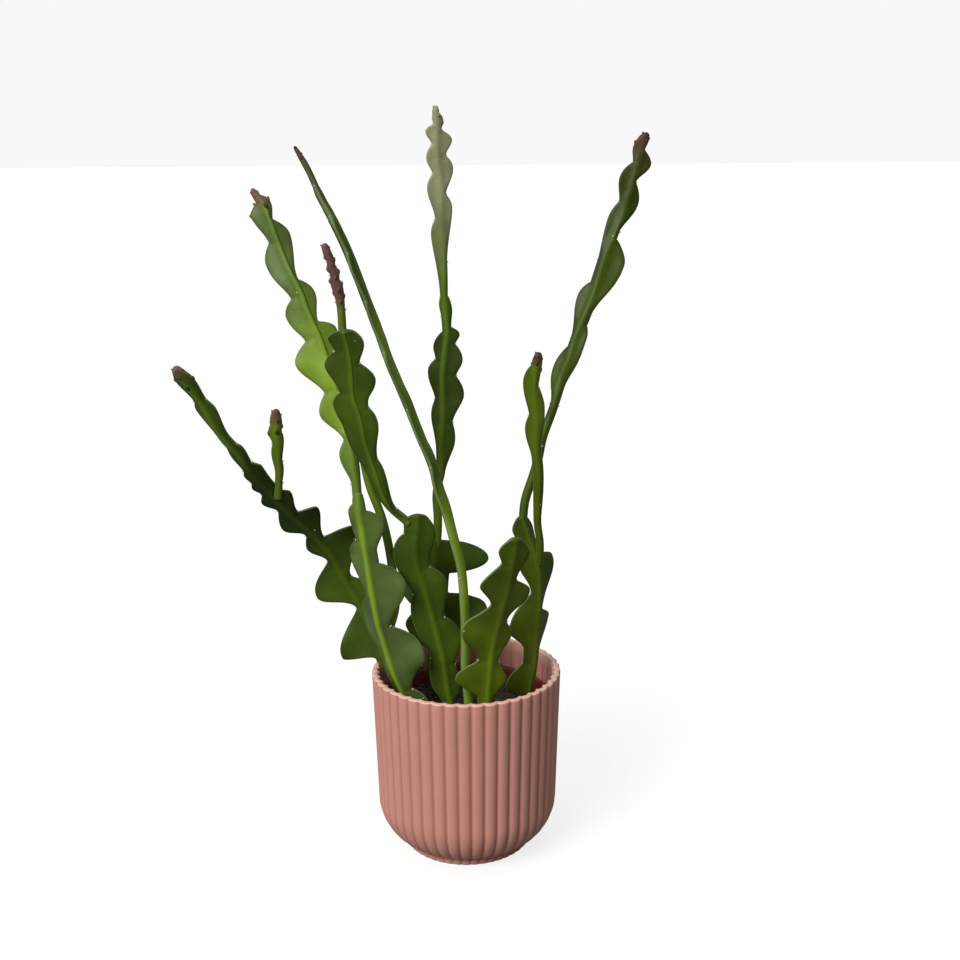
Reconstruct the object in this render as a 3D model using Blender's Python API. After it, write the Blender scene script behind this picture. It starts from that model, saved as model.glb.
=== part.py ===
"""A fishbone cactus in its nursery pot, standing in a ribbed cover pot.

Every length in this file is in millimetres until millimetres() makes a point of it, in metres.
The origin is the middle of the pot's foot, +Z is up, and the side that is looked at faces -Y.
"""

import math

import bmesh
import bpy
import numpy as np
from mathutils import Vector, noise

# Cover pot
RIM_RADIUS = 37.5
POT_HEIGHT = 73.0
SHOULDER_RADIUS = 35.9
LOWER_CURVE = 20.0
FOOT_RADIUS = 25.2
FOOT_HEIGHT = 1.2
FOOT_FLARE = 0.7
WALL = 2.2
FLOOR = 3.0
FLOOR_RADIUS = 18.0
RIB_COUNT = 45
RIB_DEPTH = 1.0
RIM_ROUNDING = 0.6

# Nursery pot
GROWER_RIM_RADIUS = 33.0
GROWER_RIM_HEIGHT = 62.0
GROWER_BASE_RADIUS = 21.0
GROWER_BASE_HEIGHT = 4.0
GROWER_WALL = 1.0
GROWER_LIP = 1.6
GROWER_LIP_PROUD = 0.5
DRAIN_RADIUS = 3.0
DRAIN_CIRCLE = 12.0
DRAIN_COUNT = 4

# Potting soil
SOIL_HEIGHT = 56.2
SOIL_LUMP = 0.8
COARSE_LUMP_WIDTH = 7.0
FINE_LUMP_WIDTH = 3.0
SOIL_RING_COUNT = 6
SOIL_CORNERS = 40
HOLE_RADIUS = 2.6
HOLE_DEPTH = 10.5

# Stems
SHANK_RADIUS = 2.1
SHANK_DEPTH = 10.0
SHANK_RISE = 3.0
BLADE_THICKNESS = 1.2
RIDGE_THICKNESS = 3.2
STALK_REACH = 2.0
BLADE_REACH = 4.5
STEP_ALONG = 2.6
CLOSEST = 0.9

GAP = 0.3

# Colours and roughness
TERRACOTTA_PINK = (0.56, 0.25, 0.20)
DARK_RED = (0.10, 0.012, 0.014)
WET_SOIL = (0.022, 0.014, 0.009)
OLD_GREEN = (0.05, 0.13, 0.025)
GREY_GREEN = (0.10, 0.20, 0.07)
GLAZE_ROUGHNESS = 0.5
PLASTIC_ROUGHNESS = 0.45
SOIL_ROUGHNESS = 0.95
SKIN_ROUGHNESS = 0.42

for leftover in list(bpy.data.objects):
    bpy.data.objects.remove(leftover)


def millimetres(x, y, z):
    return Vector((x, y, z)) * 0.001


def finish(name, color, roughness, sharp_angle=40.0):
    """The material and the smooth shading of one node."""
    piece = bpy.data.objects[name]
    material = bpy.data.materials.new(name)
    material.use_nodes = True
    shader = material.node_tree.nodes["Principled BSDF"]
    shader.inputs["Base Color"].default_value = (*color, 1)
    shader.inputs["Roughness"].default_value = roughness
    shader.inputs["Metallic"].default_value = 0
    piece.data.materials.clear()
    piece.data.materials.append(material)
    piece.data.shade_smooth()
    piece.data.set_sharp_from_angle(angle=math.radians(sharp_angle))
    return piece


def pull_rim(shape, rim, ring):
    """Extrudes a closed rim of vertices and moves the new one onto a ring of points."""
    edges = [shape.edges.get(pair) for pair in zip(rim, rim[1:] + rim[:1])]
    made = bmesh.ops.extrude_edge_only(shape, edges=edges)["geom"]
    fresh = {item for item in made if isinstance(item, bmesh.types.BMVert)}
    moved = []
    for corner, place in zip(rim, ring):
        twins = [edge.other_vert(corner) for edge in corner.link_edges]
        twin = next(vertex for vertex in twins if vertex in fresh)
        twin.co = place
        moved.append(twin)
    return moved


def loft(name, rings):
    """A closed solid: the first ring is filled, and its rim is pulled through the others."""
    shape = bmesh.new()
    rim = [shape.verts.new(place) for place in rings[0]]
    shape.faces.new(rim)
    for ring in rings[1:]:
        rim = pull_rim(shape, rim, ring)
    shape.faces.new(rim)
    bmesh.ops.recalc_face_normals(shape, faces=shape.faces)
    bmesh.ops.triangulate(shape, faces=shape.faces, quad_method="SHORT_EDGE")
    mesh = bpy.data.meshes.new(name)
    shape.to_mesh(mesh)
    shape.free()
    piece = bpy.data.objects.new(name, mesh)
    bpy.context.scene.collection.objects.link(piece)
    return piece


def boolean(piece, others, operation):
    """Joins others to a piece, or cuts them from it, and removes them."""
    group = bpy.data.collections.new("others")
    for other in others:
        group.objects.link(other)
    step = piece.modifiers.new("boolean", "BOOLEAN")
    step.operation = operation
    step.operand_type = "COLLECTION"
    step.collection = group
    step.solver = "EXACT"
    whole = bpy.data.meshes.new_from_object(piece.evaluated_get(bpy.context.evaluated_depsgraph_get()))
    piece.modifiers.clear()
    piece.data = whole
    whole.name = piece.name
    for other in others:
        bpy.data.objects.remove(other)
    bpy.data.collections.remove(group)
    return piece


# Cover pot: a thin wall folded into round ribs, which run down round the lower curve to a flat foot

# The share of the ribs' depth that the groove and the two points of each rib lie below its crest
RIB_CORNERS = (-1.0, -0.12, -0.12)

# Places on the lower curve, as degrees down from its top, with the share of the ribs' depth there
OUTSIDE_CURVE = ((57, 1.0), (46, 1.0), (34, 1.0), (21, 1.0), (8, 1.0))
INSIDE_CURVE = ((5, 1.0), (28, 0.5), (47, 0.0), (66, 0.0))


def ribbed_ring(radius, height, depth):
    """One groove and two points of the round rib beside it, for each rib."""
    ring = []
    corners = len(RIB_CORNERS)
    for index in range(RIB_COUNT * corners):
        angle = 2 * math.pi * (index + 0.5) / (RIB_COUNT * corners)
        reach = radius + depth * RIB_CORNERS[index % corners]
        ring.append(millimetres(reach * math.cos(angle), reach * math.sin(angle), height))
    return ring


def lower_curve(radius, degrees):
    """A point of the pot's round underside, seen from the middle of its curve."""
    angle = math.radians(degrees)
    middle = SHOULDER_RADIUS - LOWER_CURVE
    return middle + radius * math.cos(angle), LOWER_CURVE - radius * math.sin(angle)


def cover_pot():
    rings = [ribbed_ring(FOOT_RADIUS, 0, RIB_DEPTH / 2)]
    rings.append(ribbed_ring(FOOT_RADIUS + FOOT_FLARE, FOOT_HEIGHT, RIB_DEPTH))
    for degrees, share in OUTSIDE_CURVE:
        reach, height = lower_curve(LOWER_CURVE, degrees)
        rings.append(ribbed_ring(reach, height, RIB_DEPTH * share))
    rings.append(ribbed_ring(RIM_RADIUS, POT_HEIGHT - RIM_ROUNDING, RIB_DEPTH))
    rings.append(ribbed_ring(RIM_RADIUS - RIM_ROUNDING / 2, POT_HEIGHT, RIB_DEPTH))
    rings.append(ribbed_ring(RIM_RADIUS - WALL + RIM_ROUNDING / 2, POT_HEIGHT, RIB_DEPTH))
    rings.append(ribbed_ring(RIM_RADIUS - WALL, POT_HEIGHT - RIM_ROUNDING, RIB_DEPTH))
    for degrees, share in INSIDE_CURVE:
        reach, height = lower_curve(LOWER_CURVE - WALL, degrees)
        rings.append(ribbed_ring(reach, height, RIB_DEPTH * share))
    rings.append(ribbed_ring(FLOOR_RADIUS, FLOOR, 0))
    loft("cover_pot", rings)
    return finish("cover_pot", TERRACOTTA_PINK, GLAZE_ROUGHNESS)


# Nursery pot: a plain tapered pot of dark red plastic, with a rolled lip and drain holes


def round_ring(radius, height, corners=48):
    ring = []
    for index in range(corners):
        angle = 2 * math.pi * index / corners
        ring.append(millimetres(radius * math.cos(angle), radius * math.sin(angle), height))
    return ring


def grower_radius(height):
    """The outside of the nursery pot's tapered wall."""
    share = (height - GROWER_BASE_HEIGHT) / (GROWER_RIM_HEIGHT - GROWER_BASE_HEIGHT)
    return GROWER_BASE_RADIUS + share * (GROWER_RIM_RADIUS - GROWER_BASE_RADIUS)


def rod(name, x, y, low, high, radius, corners=12):
    """An upright round rod, for the cutters of round holes."""
    rings = []
    for height in (low, high):
        ring = round_ring(radius, height, corners)
        rings.append([place + millimetres(x, y, 0) for place in ring])
    return loft(name, rings)


def nursery_pot():
    lip_bottom = GROWER_RIM_HEIGHT - GROWER_LIP
    inside_floor = GROWER_BASE_HEIGHT + GROWER_WALL
    rings = [
        round_ring(GROWER_BASE_RADIUS, GROWER_BASE_HEIGHT),
        round_ring(grower_radius(lip_bottom), lip_bottom),
        round_ring(GROWER_RIM_RADIUS + GROWER_LIP_PROUD, lip_bottom),
        round_ring(GROWER_RIM_RADIUS + GROWER_LIP_PROUD, GROWER_RIM_HEIGHT),
        round_ring(GROWER_RIM_RADIUS - GROWER_WALL, GROWER_RIM_HEIGHT),
        round_ring(grower_radius(inside_floor) - GROWER_WALL, inside_floor),
    ]
    pot = loft("nursery_pot", rings)
    drains = []
    for index in range(DRAIN_COUNT):
        angle = 2 * math.pi * (index + 0.5) / DRAIN_COUNT
        x = DRAIN_CIRCLE * math.cos(angle)
        y = DRAIN_CIRCLE * math.sin(angle)
        drains.append(rod(f"drain_{index}", x, y, 0, inside_floor + 1, DRAIN_RADIUS))
    boolean(pot, drains, "DIFFERENCE")
    return finish("nursery_pot", DARK_RED, PLASTIC_ROUGHNESS)


# Potting soil: it fills the nursery pot, lumpy on top, with a plain hole for each stem


def soil_top(x, y):
    """The height of the soil's lumpy top."""
    coarse = noise.noise(Vector((x, y, 0)) / COARSE_LUMP_WIDTH)
    fine = noise.noise(Vector((x, y, 0)) / FINE_LUMP_WIDTH)
    return SOIL_HEIGHT + SOIL_LUMP * (coarse + fine / 2)


def potting_soil(bases):
    bottom = GROWER_BASE_HEIGHT + GROWER_WALL + GAP
    rings = [round_ring(grower_radius(bottom) - GROWER_WALL - GAP, bottom, SOIL_CORNERS)]
    outer = grower_radius(SOIL_HEIGHT - SOIL_LUMP * 1.5) - GROWER_WALL - GAP
    for index in range(SOIL_RING_COUNT):
        radius = outer * (1 - index / SOIL_RING_COUNT)
        ring = []
        for place in round_ring(radius, 0, SOIL_CORNERS):
            x, y = place.x * 1000, place.y * 1000
            ring.append(millimetres(x, y, soil_top(x, y)))
        rings.append(ring)
    soil = loft("potting_soil", rings)
    holes = []
    for index, (x, y) in enumerate(bases):
        holes.append(rod(f"hole_{index}", x, y, SOIL_HEIGHT - HOLE_DEPTH, SOIL_HEIGHT + 5, HOLE_RADIUS))
    boolean(soil, holes, "DIFFERENCE")
    return finish("potting_soil", WET_SOIL, SOIL_ROUGHNESS)


# Stems: flat blades with a midrib and a lobed margin on either side


def smooth_through(stations, values, places):
    """Values at the places asked for, on a smooth curve through those at the stations."""
    stations = np.asarray(stations, float)
    values = np.asarray(values, float)
    slopes = np.gradient(values, stations, axis=0)
    index = np.clip(np.searchsorted(stations, places, side="right") - 1, 0, len(stations) - 2)
    span = stations[index + 1] - stations[index]
    share = (places - stations[index]) / span
    span = span[:, None]
    share = share[:, None]
    start = values[index] * (1 + 2 * share) * (1 - share) ** 2
    start += slopes[index] * span * share * (1 - share) ** 2
    end = values[index + 1] * share ** 2 * (3 - 2 * share)
    end += slopes[index + 1] * span * share ** 2 * (share - 1)
    return start + end


def margin(outline, place, rise, fall):
    """The reach of a lobed margin: a rise to each lobe and a rounder fall to the notch above it."""
    for (low, low_reach), (high, high_reach) in zip(outline, outline[1:]):
        if place <= high:
            share = (place - low) / (high - low)
            if high_reach >= low_reach:
                lift = math.sin(math.pi / 2 * share) ** rise
                return low_reach + (high_reach - low_reach) * lift
            lift = max(math.cos(math.pi / 2 * share), 0) ** fall
            return high_reach + (low_reach - high_reach) * lift
    return outline[-1][1]


def along(profile, place):
    """A value that goes straight from each station's to the next one's."""
    stations, values = zip(*profile)
    return float(np.interp(place, stations, values))


def ring_places(length, left, right):
    """Stations at every notch and lobe of both margins, with even steps between them."""
    wanted = sorted({place for place, reach in left + right if 0 < place < length - CLOSEST})
    kept = [0.0]
    for place in wanted + [length]:
        if place - kept[-1] >= CLOSEST:
            kept.append(place)
    places = []
    for low, high in zip(kept, kept[1:]):
        count = math.ceil((high - low) / STEP_ALONG)
        places.extend(np.linspace(low, high, count, endpoint=False))
    return np.array(places + [length])


def blade_rings(route, left, right, turn, fold_left, fold_right, thickness, lobes):
    """Six-cornered rings along the midrib: two corners at each margin and one on each side of it."""
    route = np.asarray(route, float)
    steps = np.linalg.norm(np.diff(route, axis=0), axis=1)
    stations = np.concatenate([[0], np.cumsum(steps)])
    places = ring_places(stations[-1], left, right)
    points = smooth_through(stations, route, places)
    ways = np.gradient(points, places, axis=0)
    rings = []
    for place, point, way in zip(places, points, ways):
        tangent = Vector(way).normalized()
        angle = math.radians(along(turn, place))
        side = Vector((math.cos(angle), math.sin(angle), 0))
        side = (side - side.dot(tangent) * tangent).normalized()
        front = side.cross(tangent)
        middle = Vector(point)
        ring = []
        for way_out, outline, fold in ((-1, left, fold_left), (1, right, fold_right)):
            bend = math.radians(along(fold, place))
            wing = way_out * side * math.cos(bend) - front * math.sin(bend)
            skin = front * math.cos(bend) + way_out * side * math.sin(bend)
            reach = margin(outline, place, *lobes)
            stalky = min(max((BLADE_REACH - reach) / (BLADE_REACH - STALK_REACH), 0), 1)
            edge = BLADE_THICKNESS + stalky * (thickness / 2 - BLADE_THICKNESS)
            edge = min(edge, reach)
            tip = middle + wing * reach
            ring.append((tip + skin * edge / 2, tip - skin * edge / 2))
        widest = max(margin(left, place, *lobes), margin(right, place, *lobes))
        ridge = min(thickness, 2 * widest)
        (left_front, left_back), (right_front, right_back) = ring
        corners = [left_front, middle + front * ridge / 2, right_front]
        corners += [right_back, middle - front * ridge / 2, left_back]
        rings.append([millimetres(*corner) for corner in corners])
    return rings


# How steeply a margin rises to a lobe and falls from it
ROUND_LOBES = (1.7, 0.8)
SHOULDER_LOBES = (1.6, 0.75)
LONG_LOBES = (0.9, 0.45)
POINTED_LOBES = (2, 1.15)

FLAT = ((0, 0),)


def blade(
    name, route, left, right,
    turn=FLAT, fold_left=FLAT, fold_right=FLAT, thickness=RIDGE_THICKNESS, lobes=ROUND_LOBES,
):
    """A blade along a route, from its margins' (station, reach) pairs and its turns in degrees."""
    rings = blade_rings(route, left, right, turn, fold_left, fold_right, thickness, lobes)
    return loft(name, rings)


def shank(name, base):
    """The round foot of a stem, in its hole in the soil and a little up into the blade."""
    x, y, z = base
    return rod(name, x, y, z - SHANK_DEPTH, z + SHANK_RISE, SHANK_RADIUS, corners=10)


def stem(name, base, branches, color):
    """One rooted stem with its branches, joined in one body."""
    root = shank(name, base)
    boolean(root, branches, "UNION")
    return finish(name, color, SKIN_ROUGHNESS, sharp_angle=50)


# Where each stem's foot meets the soil, and the two first stations of a margin, beside the shank
LEFT_ARCHING_BASE = (-24.5, -1, 57)
LEFT_FRONT_BASE = (-23, -9.5, 57)
CENTRE_BASE = (-6, -8, 57)
CENTRE_BACK_BASE = (-11, 14, 57)
EDGE_ON_BASE = (1, -14, 57)
RIGHT_FRONT_BASE = (7, -19, 57)
RIGHT_BACK_BASE = (24, -4, 57)
ROOTED = ((0, 1.8), (3, 1.8))


def stem_left_arching():
    """A stem that leans far out to the left, with a short young shoot on its back."""
    arch = blade(
        "arch",
        route=(
            LEFT_ARCHING_BASE, (-28.5, 0, 68), (-34, 3.5, 79), (-39, 6, 89), (-44, 8, 100), (-49, 8, 109),
            (-53, 7, 118), (-58, 5.5, 125), (-64, 3, 132.5), (-69.5, -0.5, 139.5), (-74.5, -3, 147),
            (-80, -7, 154.5), (-84.5, -11, 164), (-90, -15, 172), (-94, -20, 183.5), (-98.5, -24, 192.5),
            (-102.5, -27, 199),
        ),
        left=(
            *ROOTED, (16, 2), (22.5, 3.5), (28.5, 15.5), (44, 1.6), (56, 13.2), (67, 2.5), (76, 6),
            (81.5, 2.3), (89.5, 7.2), (97, 3), (103, 6), (106.5, 3.5), (110.5, 4.8), (113, 3.1),
            (116.5, 3.5), (119, 2.3), (126.5, 3.3), (132, 1.9), (138, 1.4), (150.5, 3.9), (154, 2.6),
            (163.5, 4), (170.5, 0.8),
        ),
        right=(
            *ROOTED, (16, 6.5), (23, 3), (47, 9.5), (57, 3.2), (73.5, 14.1), (76.5, 2.9), (88.5, 9.6),
            (92, 3), (101.5, 6.3), (104, 4), (118, 5.2), (121.5, 2.7), (129, 3.5), (131, 2.6),
            (148.5, 3.8), (153.5, 2.4), (163, 3.7), (170.5, 0.8),
        ),
        turn=((0, -12), (80, 10), (170, -15)),
        lobes=POINTED_LOBES,
    )
    shoot = blade(
        "shoot",
        route=(
            (-71.5, -3, 144), (-70, -5.5, 155.5), (-70, -8, 164.5), (-70, -10, 171.5),
            (-69.5, -10.5, 176.5), (-69.5, -11, 180.5),
        ),
        left=((0, 1.6), (11, 1.7), (19, 2.6), (23.5, 1.7), (28.5, 3), (31.5, 2.1), (33, 2.4), (38, 0.7)),
        right=((0, 1.6), (7, 1.3), (13, 1.7), (16, 1.4), (26, 2.8), (29, 1.9), (31, 2.3), (38, 0.7)),
        thickness=2.6,
    )
    return stem("stem_left_arching", LEFT_ARCHING_BASE, [arch, shoot], OLD_GREEN)


def stem_left_front():
    """A grey-green blade whose left wing points back, a tall young blade on its tip and a thin stalk."""
    lower = blade(
        "lower",
        route=(
            LEFT_FRONT_BASE, (-25.5, -11, 69), (-28, -12, 75), (-30, -13, 83), (-32, -14, 91),
            (-34, -15, 100), (-35, -15, 106), (-36, -15, 113), (-37, -15, 122), (-38, -15, 129),
            (-39, -14, 136), (-40, -14, 143), (-40, -13, 149),
        ),
        left=(
            *ROOTED, (14, 8), (24, 3), (45.5, 10), (53, 3.2), (69, 9), (76, 3), (87, 3.8), (90, 2),
            (94, 1.6),
        ),
        right=(
            *ROOTED, (5, 9.5), (11, 4.5), (26, 14.8), (40, 4.4), (56.5, 13.8), (66, 4.6), (71, 4.6),
            (81, 8.9), (87, 3), (94, 1.8),
        ),
        turn=((0, -10), (94, 5)),
        fold_left=((0, 50), (70, 46), (84, 0)),
        lobes=SHOULDER_LOBES,
    )
    upper = blade(
        "upper",
        route=(
            (-40, -13, 146), (-42, -10, 163), (-44, -6, 175), (-48, -3, 187.5), (-51.5, 1, 198.5),
            (-54.5, 3.5, 206.5), (-58, 5.5, 214), (-61, 8, 222), (-65.5, 11, 230), (-69, 14.5, 238),
            (-72.5, 17, 247.5), (-75.5, 19.5, 254.5), (-80, 21, 259.5),
        ),
        left=(
            (0, 1.8), (6, 1.6), (17, 4.7), (22.5, 2.3), (35, 9), (42, 4.8), (56, 12.1), (63.5, 5.7),
            (75, 9), (80.5, 4.7), (97, 7.9), (104, 3.8), (117, 7), (121.5, 2.4), (127, 0.8),
        ),
        right=(
            (0, 1.8), (14, 2.4), (30.5, 8), (34, 4), (49.5, 10.5), (52.5, 4), (65, 8.5), (69, 2.1),
            (80.5, 5.2), (86.5, 1.3), (105, 5.3), (112, 0.9), (119, 2.7), (122.5, 1), (127, 0.8),
        ),
        turn=((0, 10), (126.5, -15)),
        fold_right=((0, 0), (50.5, 35)),
    )
    stalk = blade(
        "stalk",
        route=(
            (-30, -13, 92), (-27, -8, 102), (-28, -5, 114), (-29.5, -4.5, 126), (-32, -7.5, 139),
            (-35.5, -9.5, 150), (-38, -12, 165), (-41, -13, 180), (-43, -14, 195.5), (-43.5, -15, 208.5),
            (-43.5, -16.5, 217.5), (-44.5, -17.5, 225.5), (-46, -19, 233.5), (-48.5, -20, 241.5),
        ),
        left=(
            (0, 1.7), (100, 1.6), (133, 1.5), (140.5, 2.2), (143, 1.5), (145.5, 2), (148, 1.3),
            (150, 1.7), (156, 0.7),
        ),
        right=(
            (0, 1.7), (100, 1.6), (130, 1.5), (138, 2.1), (140.5, 1.4), (144, 1.9), (146, 1.2),
            (148, 1.6), (156, 0.7),
        ),
    )
    return stem("stem_left_front", LEFT_FRONT_BASE, [lower, upper, stalk], GREY_GREEN)


def stem_centre():
    """A broad dark blade that stands in the middle, with a second dark blade from its round head."""
    lower = blade(
        "lower",
        route=(
            CENTRE_BASE, (-8, -8, 70), (-9, -8, 79), (-11, -8, 88), (-13, -8, 97), (-15, -8, 105),
            (-17, -8, 113), (-19, -8, 121), (-19, -8, 128), (-18, -8, 135), (-18, -8, 139),
        ),
        left=(
            *ROOTED, (16, 6), (25, 4.4), (42, 7.6), (52, 4.6), (68.5, 8.4), (75, 4.8), (80, 5.2),
            (84, 1.2),
        ),
        right=(
            *ROOTED, (12, 6), (20, 4.5), (31, 9.6), (39.5, 4.8), (53.5, 9.3), (60.5, 4.4), (75, 7.6),
            (84, 1.2),
        ),
        turn=((0, 18), (84, 8)),
        lobes=SHOULDER_LOBES,
    )
    upper = blade(
        "upper",
        route=(
            (-21, -8, 135), (-24, -8, 138), (-27, -10, 141), (-30, -13, 148), (-32, -15, 155),
            (-34, -17, 163), (-36, -19.5, 171), (-37, -21.5, 179.5), (-39, -22, 185.5),
            (-39.5, -25.5, 199.5), (-40.5, -27, 208), (-41.5, -28, 212),
        ),
        left=(
            (0, 1.7), (9, 1.7), (21, 3.4), (56.5, 8.8), (60, 5.4), (70.5, 10.4), (76, 6), (81, 7.4),
            (85, 1),
        ),
        right=(
            (0, 1.7), (9, 1.5), (26.5, 3.3), (32, 2.2), (48, 6), (53, 4.2), (65.5, 8.5), (71.5, 3.2),
            (79, 6.2), (85, 1),
        ),
        turn=((0, -5), (85, -18)),
    )
    return stem("stem_centre", CENTRE_BASE, [lower, upper], OLD_GREEN)


def stem_centre_back():
    """A blade with two long lobes to the right, which carries a tall straight stem."""
    lower = blade(
        "lower",
        route=(
            CENTRE_BACK_BASE, (-12, 15, 70.5), (-12, 15.5, 78.5), (-13, 16, 87.5), (-14, 16, 96),
            (-14, 17, 103.5), (-13, 17, 112.5), (-12.5, 18, 121),
        ),
        left=(
            *ROOTED, (9.5, 5), (17.5, 3.6), (29.5, 12), (35.5, 5), (45.5, 12.6), (52.5, 5.5), (58.5, 8.5),
            (64.5, 1.2),
        ),
        right=(
            *ROOTED, (13.5, 6), (20.5, 4.5), (32.5, 22), (42, 6.8), (51, 7), (57.7, 22.3), (64.5, 1.2),
        ),
        turn=((0, -15), (64.5, 10)),
        lobes=LONG_LOBES,
    )
    upper = blade(
        "upper",
        route=(
            (-12, 18, 115), (-11, 19, 130), (-11.5, 20.5, 140), (-9.5, 22, 148.5), (-9.5, 22, 158.5),
            (-8.5, 22.5, 168.5), (-8.5, 24, 177.5), (-8.5, 24.5, 187.5), (-7.5, 25.5, 196.5),
            (-6.5, 26, 204.5), (-7.5, 27, 212), (-7.5, 28, 220), (-7.5, 30, 232.5), (-8.5, 31.5, 244),
            (-8.5, 33, 255), (-9, 33.5, 264.5), (-10, 34.5, 273), (-10, 35, 281.5), (-10, 36, 290),
        ),
        left=(
            (0, 1.8), (29, 1.7), (43, 2.1), (57, 5), (63, 3.3), (74, 6.2), (78.5, 3.5), (83.5, 4.9),
            (90, 1.9), (96, 1.7), (101, 2.2), (103, 1.7), (127.5, 4.3), (133.5, 2.4), (145.5, 5.3),
            (151, 2.7), (157, 4.4), (162, 1.8), (167, 4.4), (169.5, 1.3), (174, 1.6), (177, 0.7),
        ),
        right=(
            (0, 1.8), (29, 1.6), (34, 1.8), (47, 5.6), (54, 4), (65, 8.5), (72.5, 5.5), (79, 7.6),
            (85.5, 3.7), (89, 5.1), (91.5, 1.8), (98.5, 3), (104, 1.4), (117, 1.2), (138, 4.4),
            (143, 2.1), (153, 5.7), (157.5, 3.4), (164, 6.2), (167.5, 2.1), (171.5, 2.8), (174, 1),
            (177, 0.7),
        ),
        turn=((0, 0), (60, -15), (177, 18)),
    )
    return stem("stem_centre_back", CENTRE_BACK_BASE, [lower, upper], OLD_GREEN)


def stem_edge_on():
    """A long stem that leans to the left and shows its edge: a stalk below, a narrow blade above."""
    whole = blade(
        "whole",
        route=(
            EDGE_ON_BASE, (1, -14, 65), (0, -15, 76), (0, -16, 88), (0, -17, 100), (-0.5, -18, 111),
            (-1.5, -18, 122), (-4, -18, 132), (-6, -17, 140), (-9, -16, 150), (-12, -15, 161),
            (-15.5, -13.5, 169), (-18.5, -11.5, 176.5), (-22, -10, 185), (-27, -7, 196.5),
            (-31, -4, 207.5), (-36, -1, 220.5), (-39.5, 1.5, 229.5), (-43.5, 4.5, 239), (-48, 6, 248.5),
            (-53, 9, 257.5), (-57, 10.5, 266.5), (-62, 12, 275),
        ),
        left=(
            (0, 2.1), (60, 1.8), (82, 2.1), (97, 4), (104, 2.8), (120, 4.6), (127, 3), (142, 4.6),
            (149.5, 2.8), (163.5, 4.4), (169.5, 2.6), (182, 4), (188.5, 2.2), (198, 2.8), (204, 1.4),
            (212.5, 1.6), (217, 1.1), (224.5, 1.2), (234, 0.5),
        ),
        right=(
            (0, 2.1), (60, 1.8), (78, 2.1), (90, 3.6), (95, 2.8), (109, 4.4), (115, 3), (131, 4.6),
            (138, 3), (153.5, 4.4), (159.5, 2.8), (172.5, 4.2), (179, 2.4), (190.5, 3.2), (196, 1.7),
            (206.5, 1.7), (210.5, 1.2), (219, 1.2), (234, 0.5),
        ),
        turn=((0, 60), (85, 62), (105, 76), (232.5, 80)),
        thickness=3.5,
    )
    return stem("stem_edge_on", EDGE_ON_BASE, [whole], OLD_GREEN)


def stem_right_front():
    """A broad short blade in front on the right, with three long lobes to its left."""
    whole = blade(
        "whole",
        route=(
            RIGHT_FRONT_BASE, (8, -20, 68), (9, -21, 80), (10, -22, 90), (12, -24.5, 99.5),
            (14, -27.5, 109), (16, -28.5, 116.5), (17, -29.5, 123), (18, -31, 130), (19, -32, 136.5),
        ),
        left=(
            *ROOTED, (11, 3.5), (20, 12.8), (28, 4.7), (40, 13.2), (53, 4.7), (61, 11), (71, 4.1),
            (76, 5.8), (82, 1.6),
        ),
        right=(
            *ROOTED, (12, 3), (19, 7.2), (27, 3.2), (39.5, 6.8), (45.5, 3.4), (60.5, 9.2), (64, 2.9),
            (75, 6.2), (82, 1.6),
        ),
        turn=((0, 8), (81.5, 20)),
        lobes=POINTED_LOBES,
    )
    return stem("stem_right_front", RIGHT_FRONT_BASE, [whole], OLD_GREEN)


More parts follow.
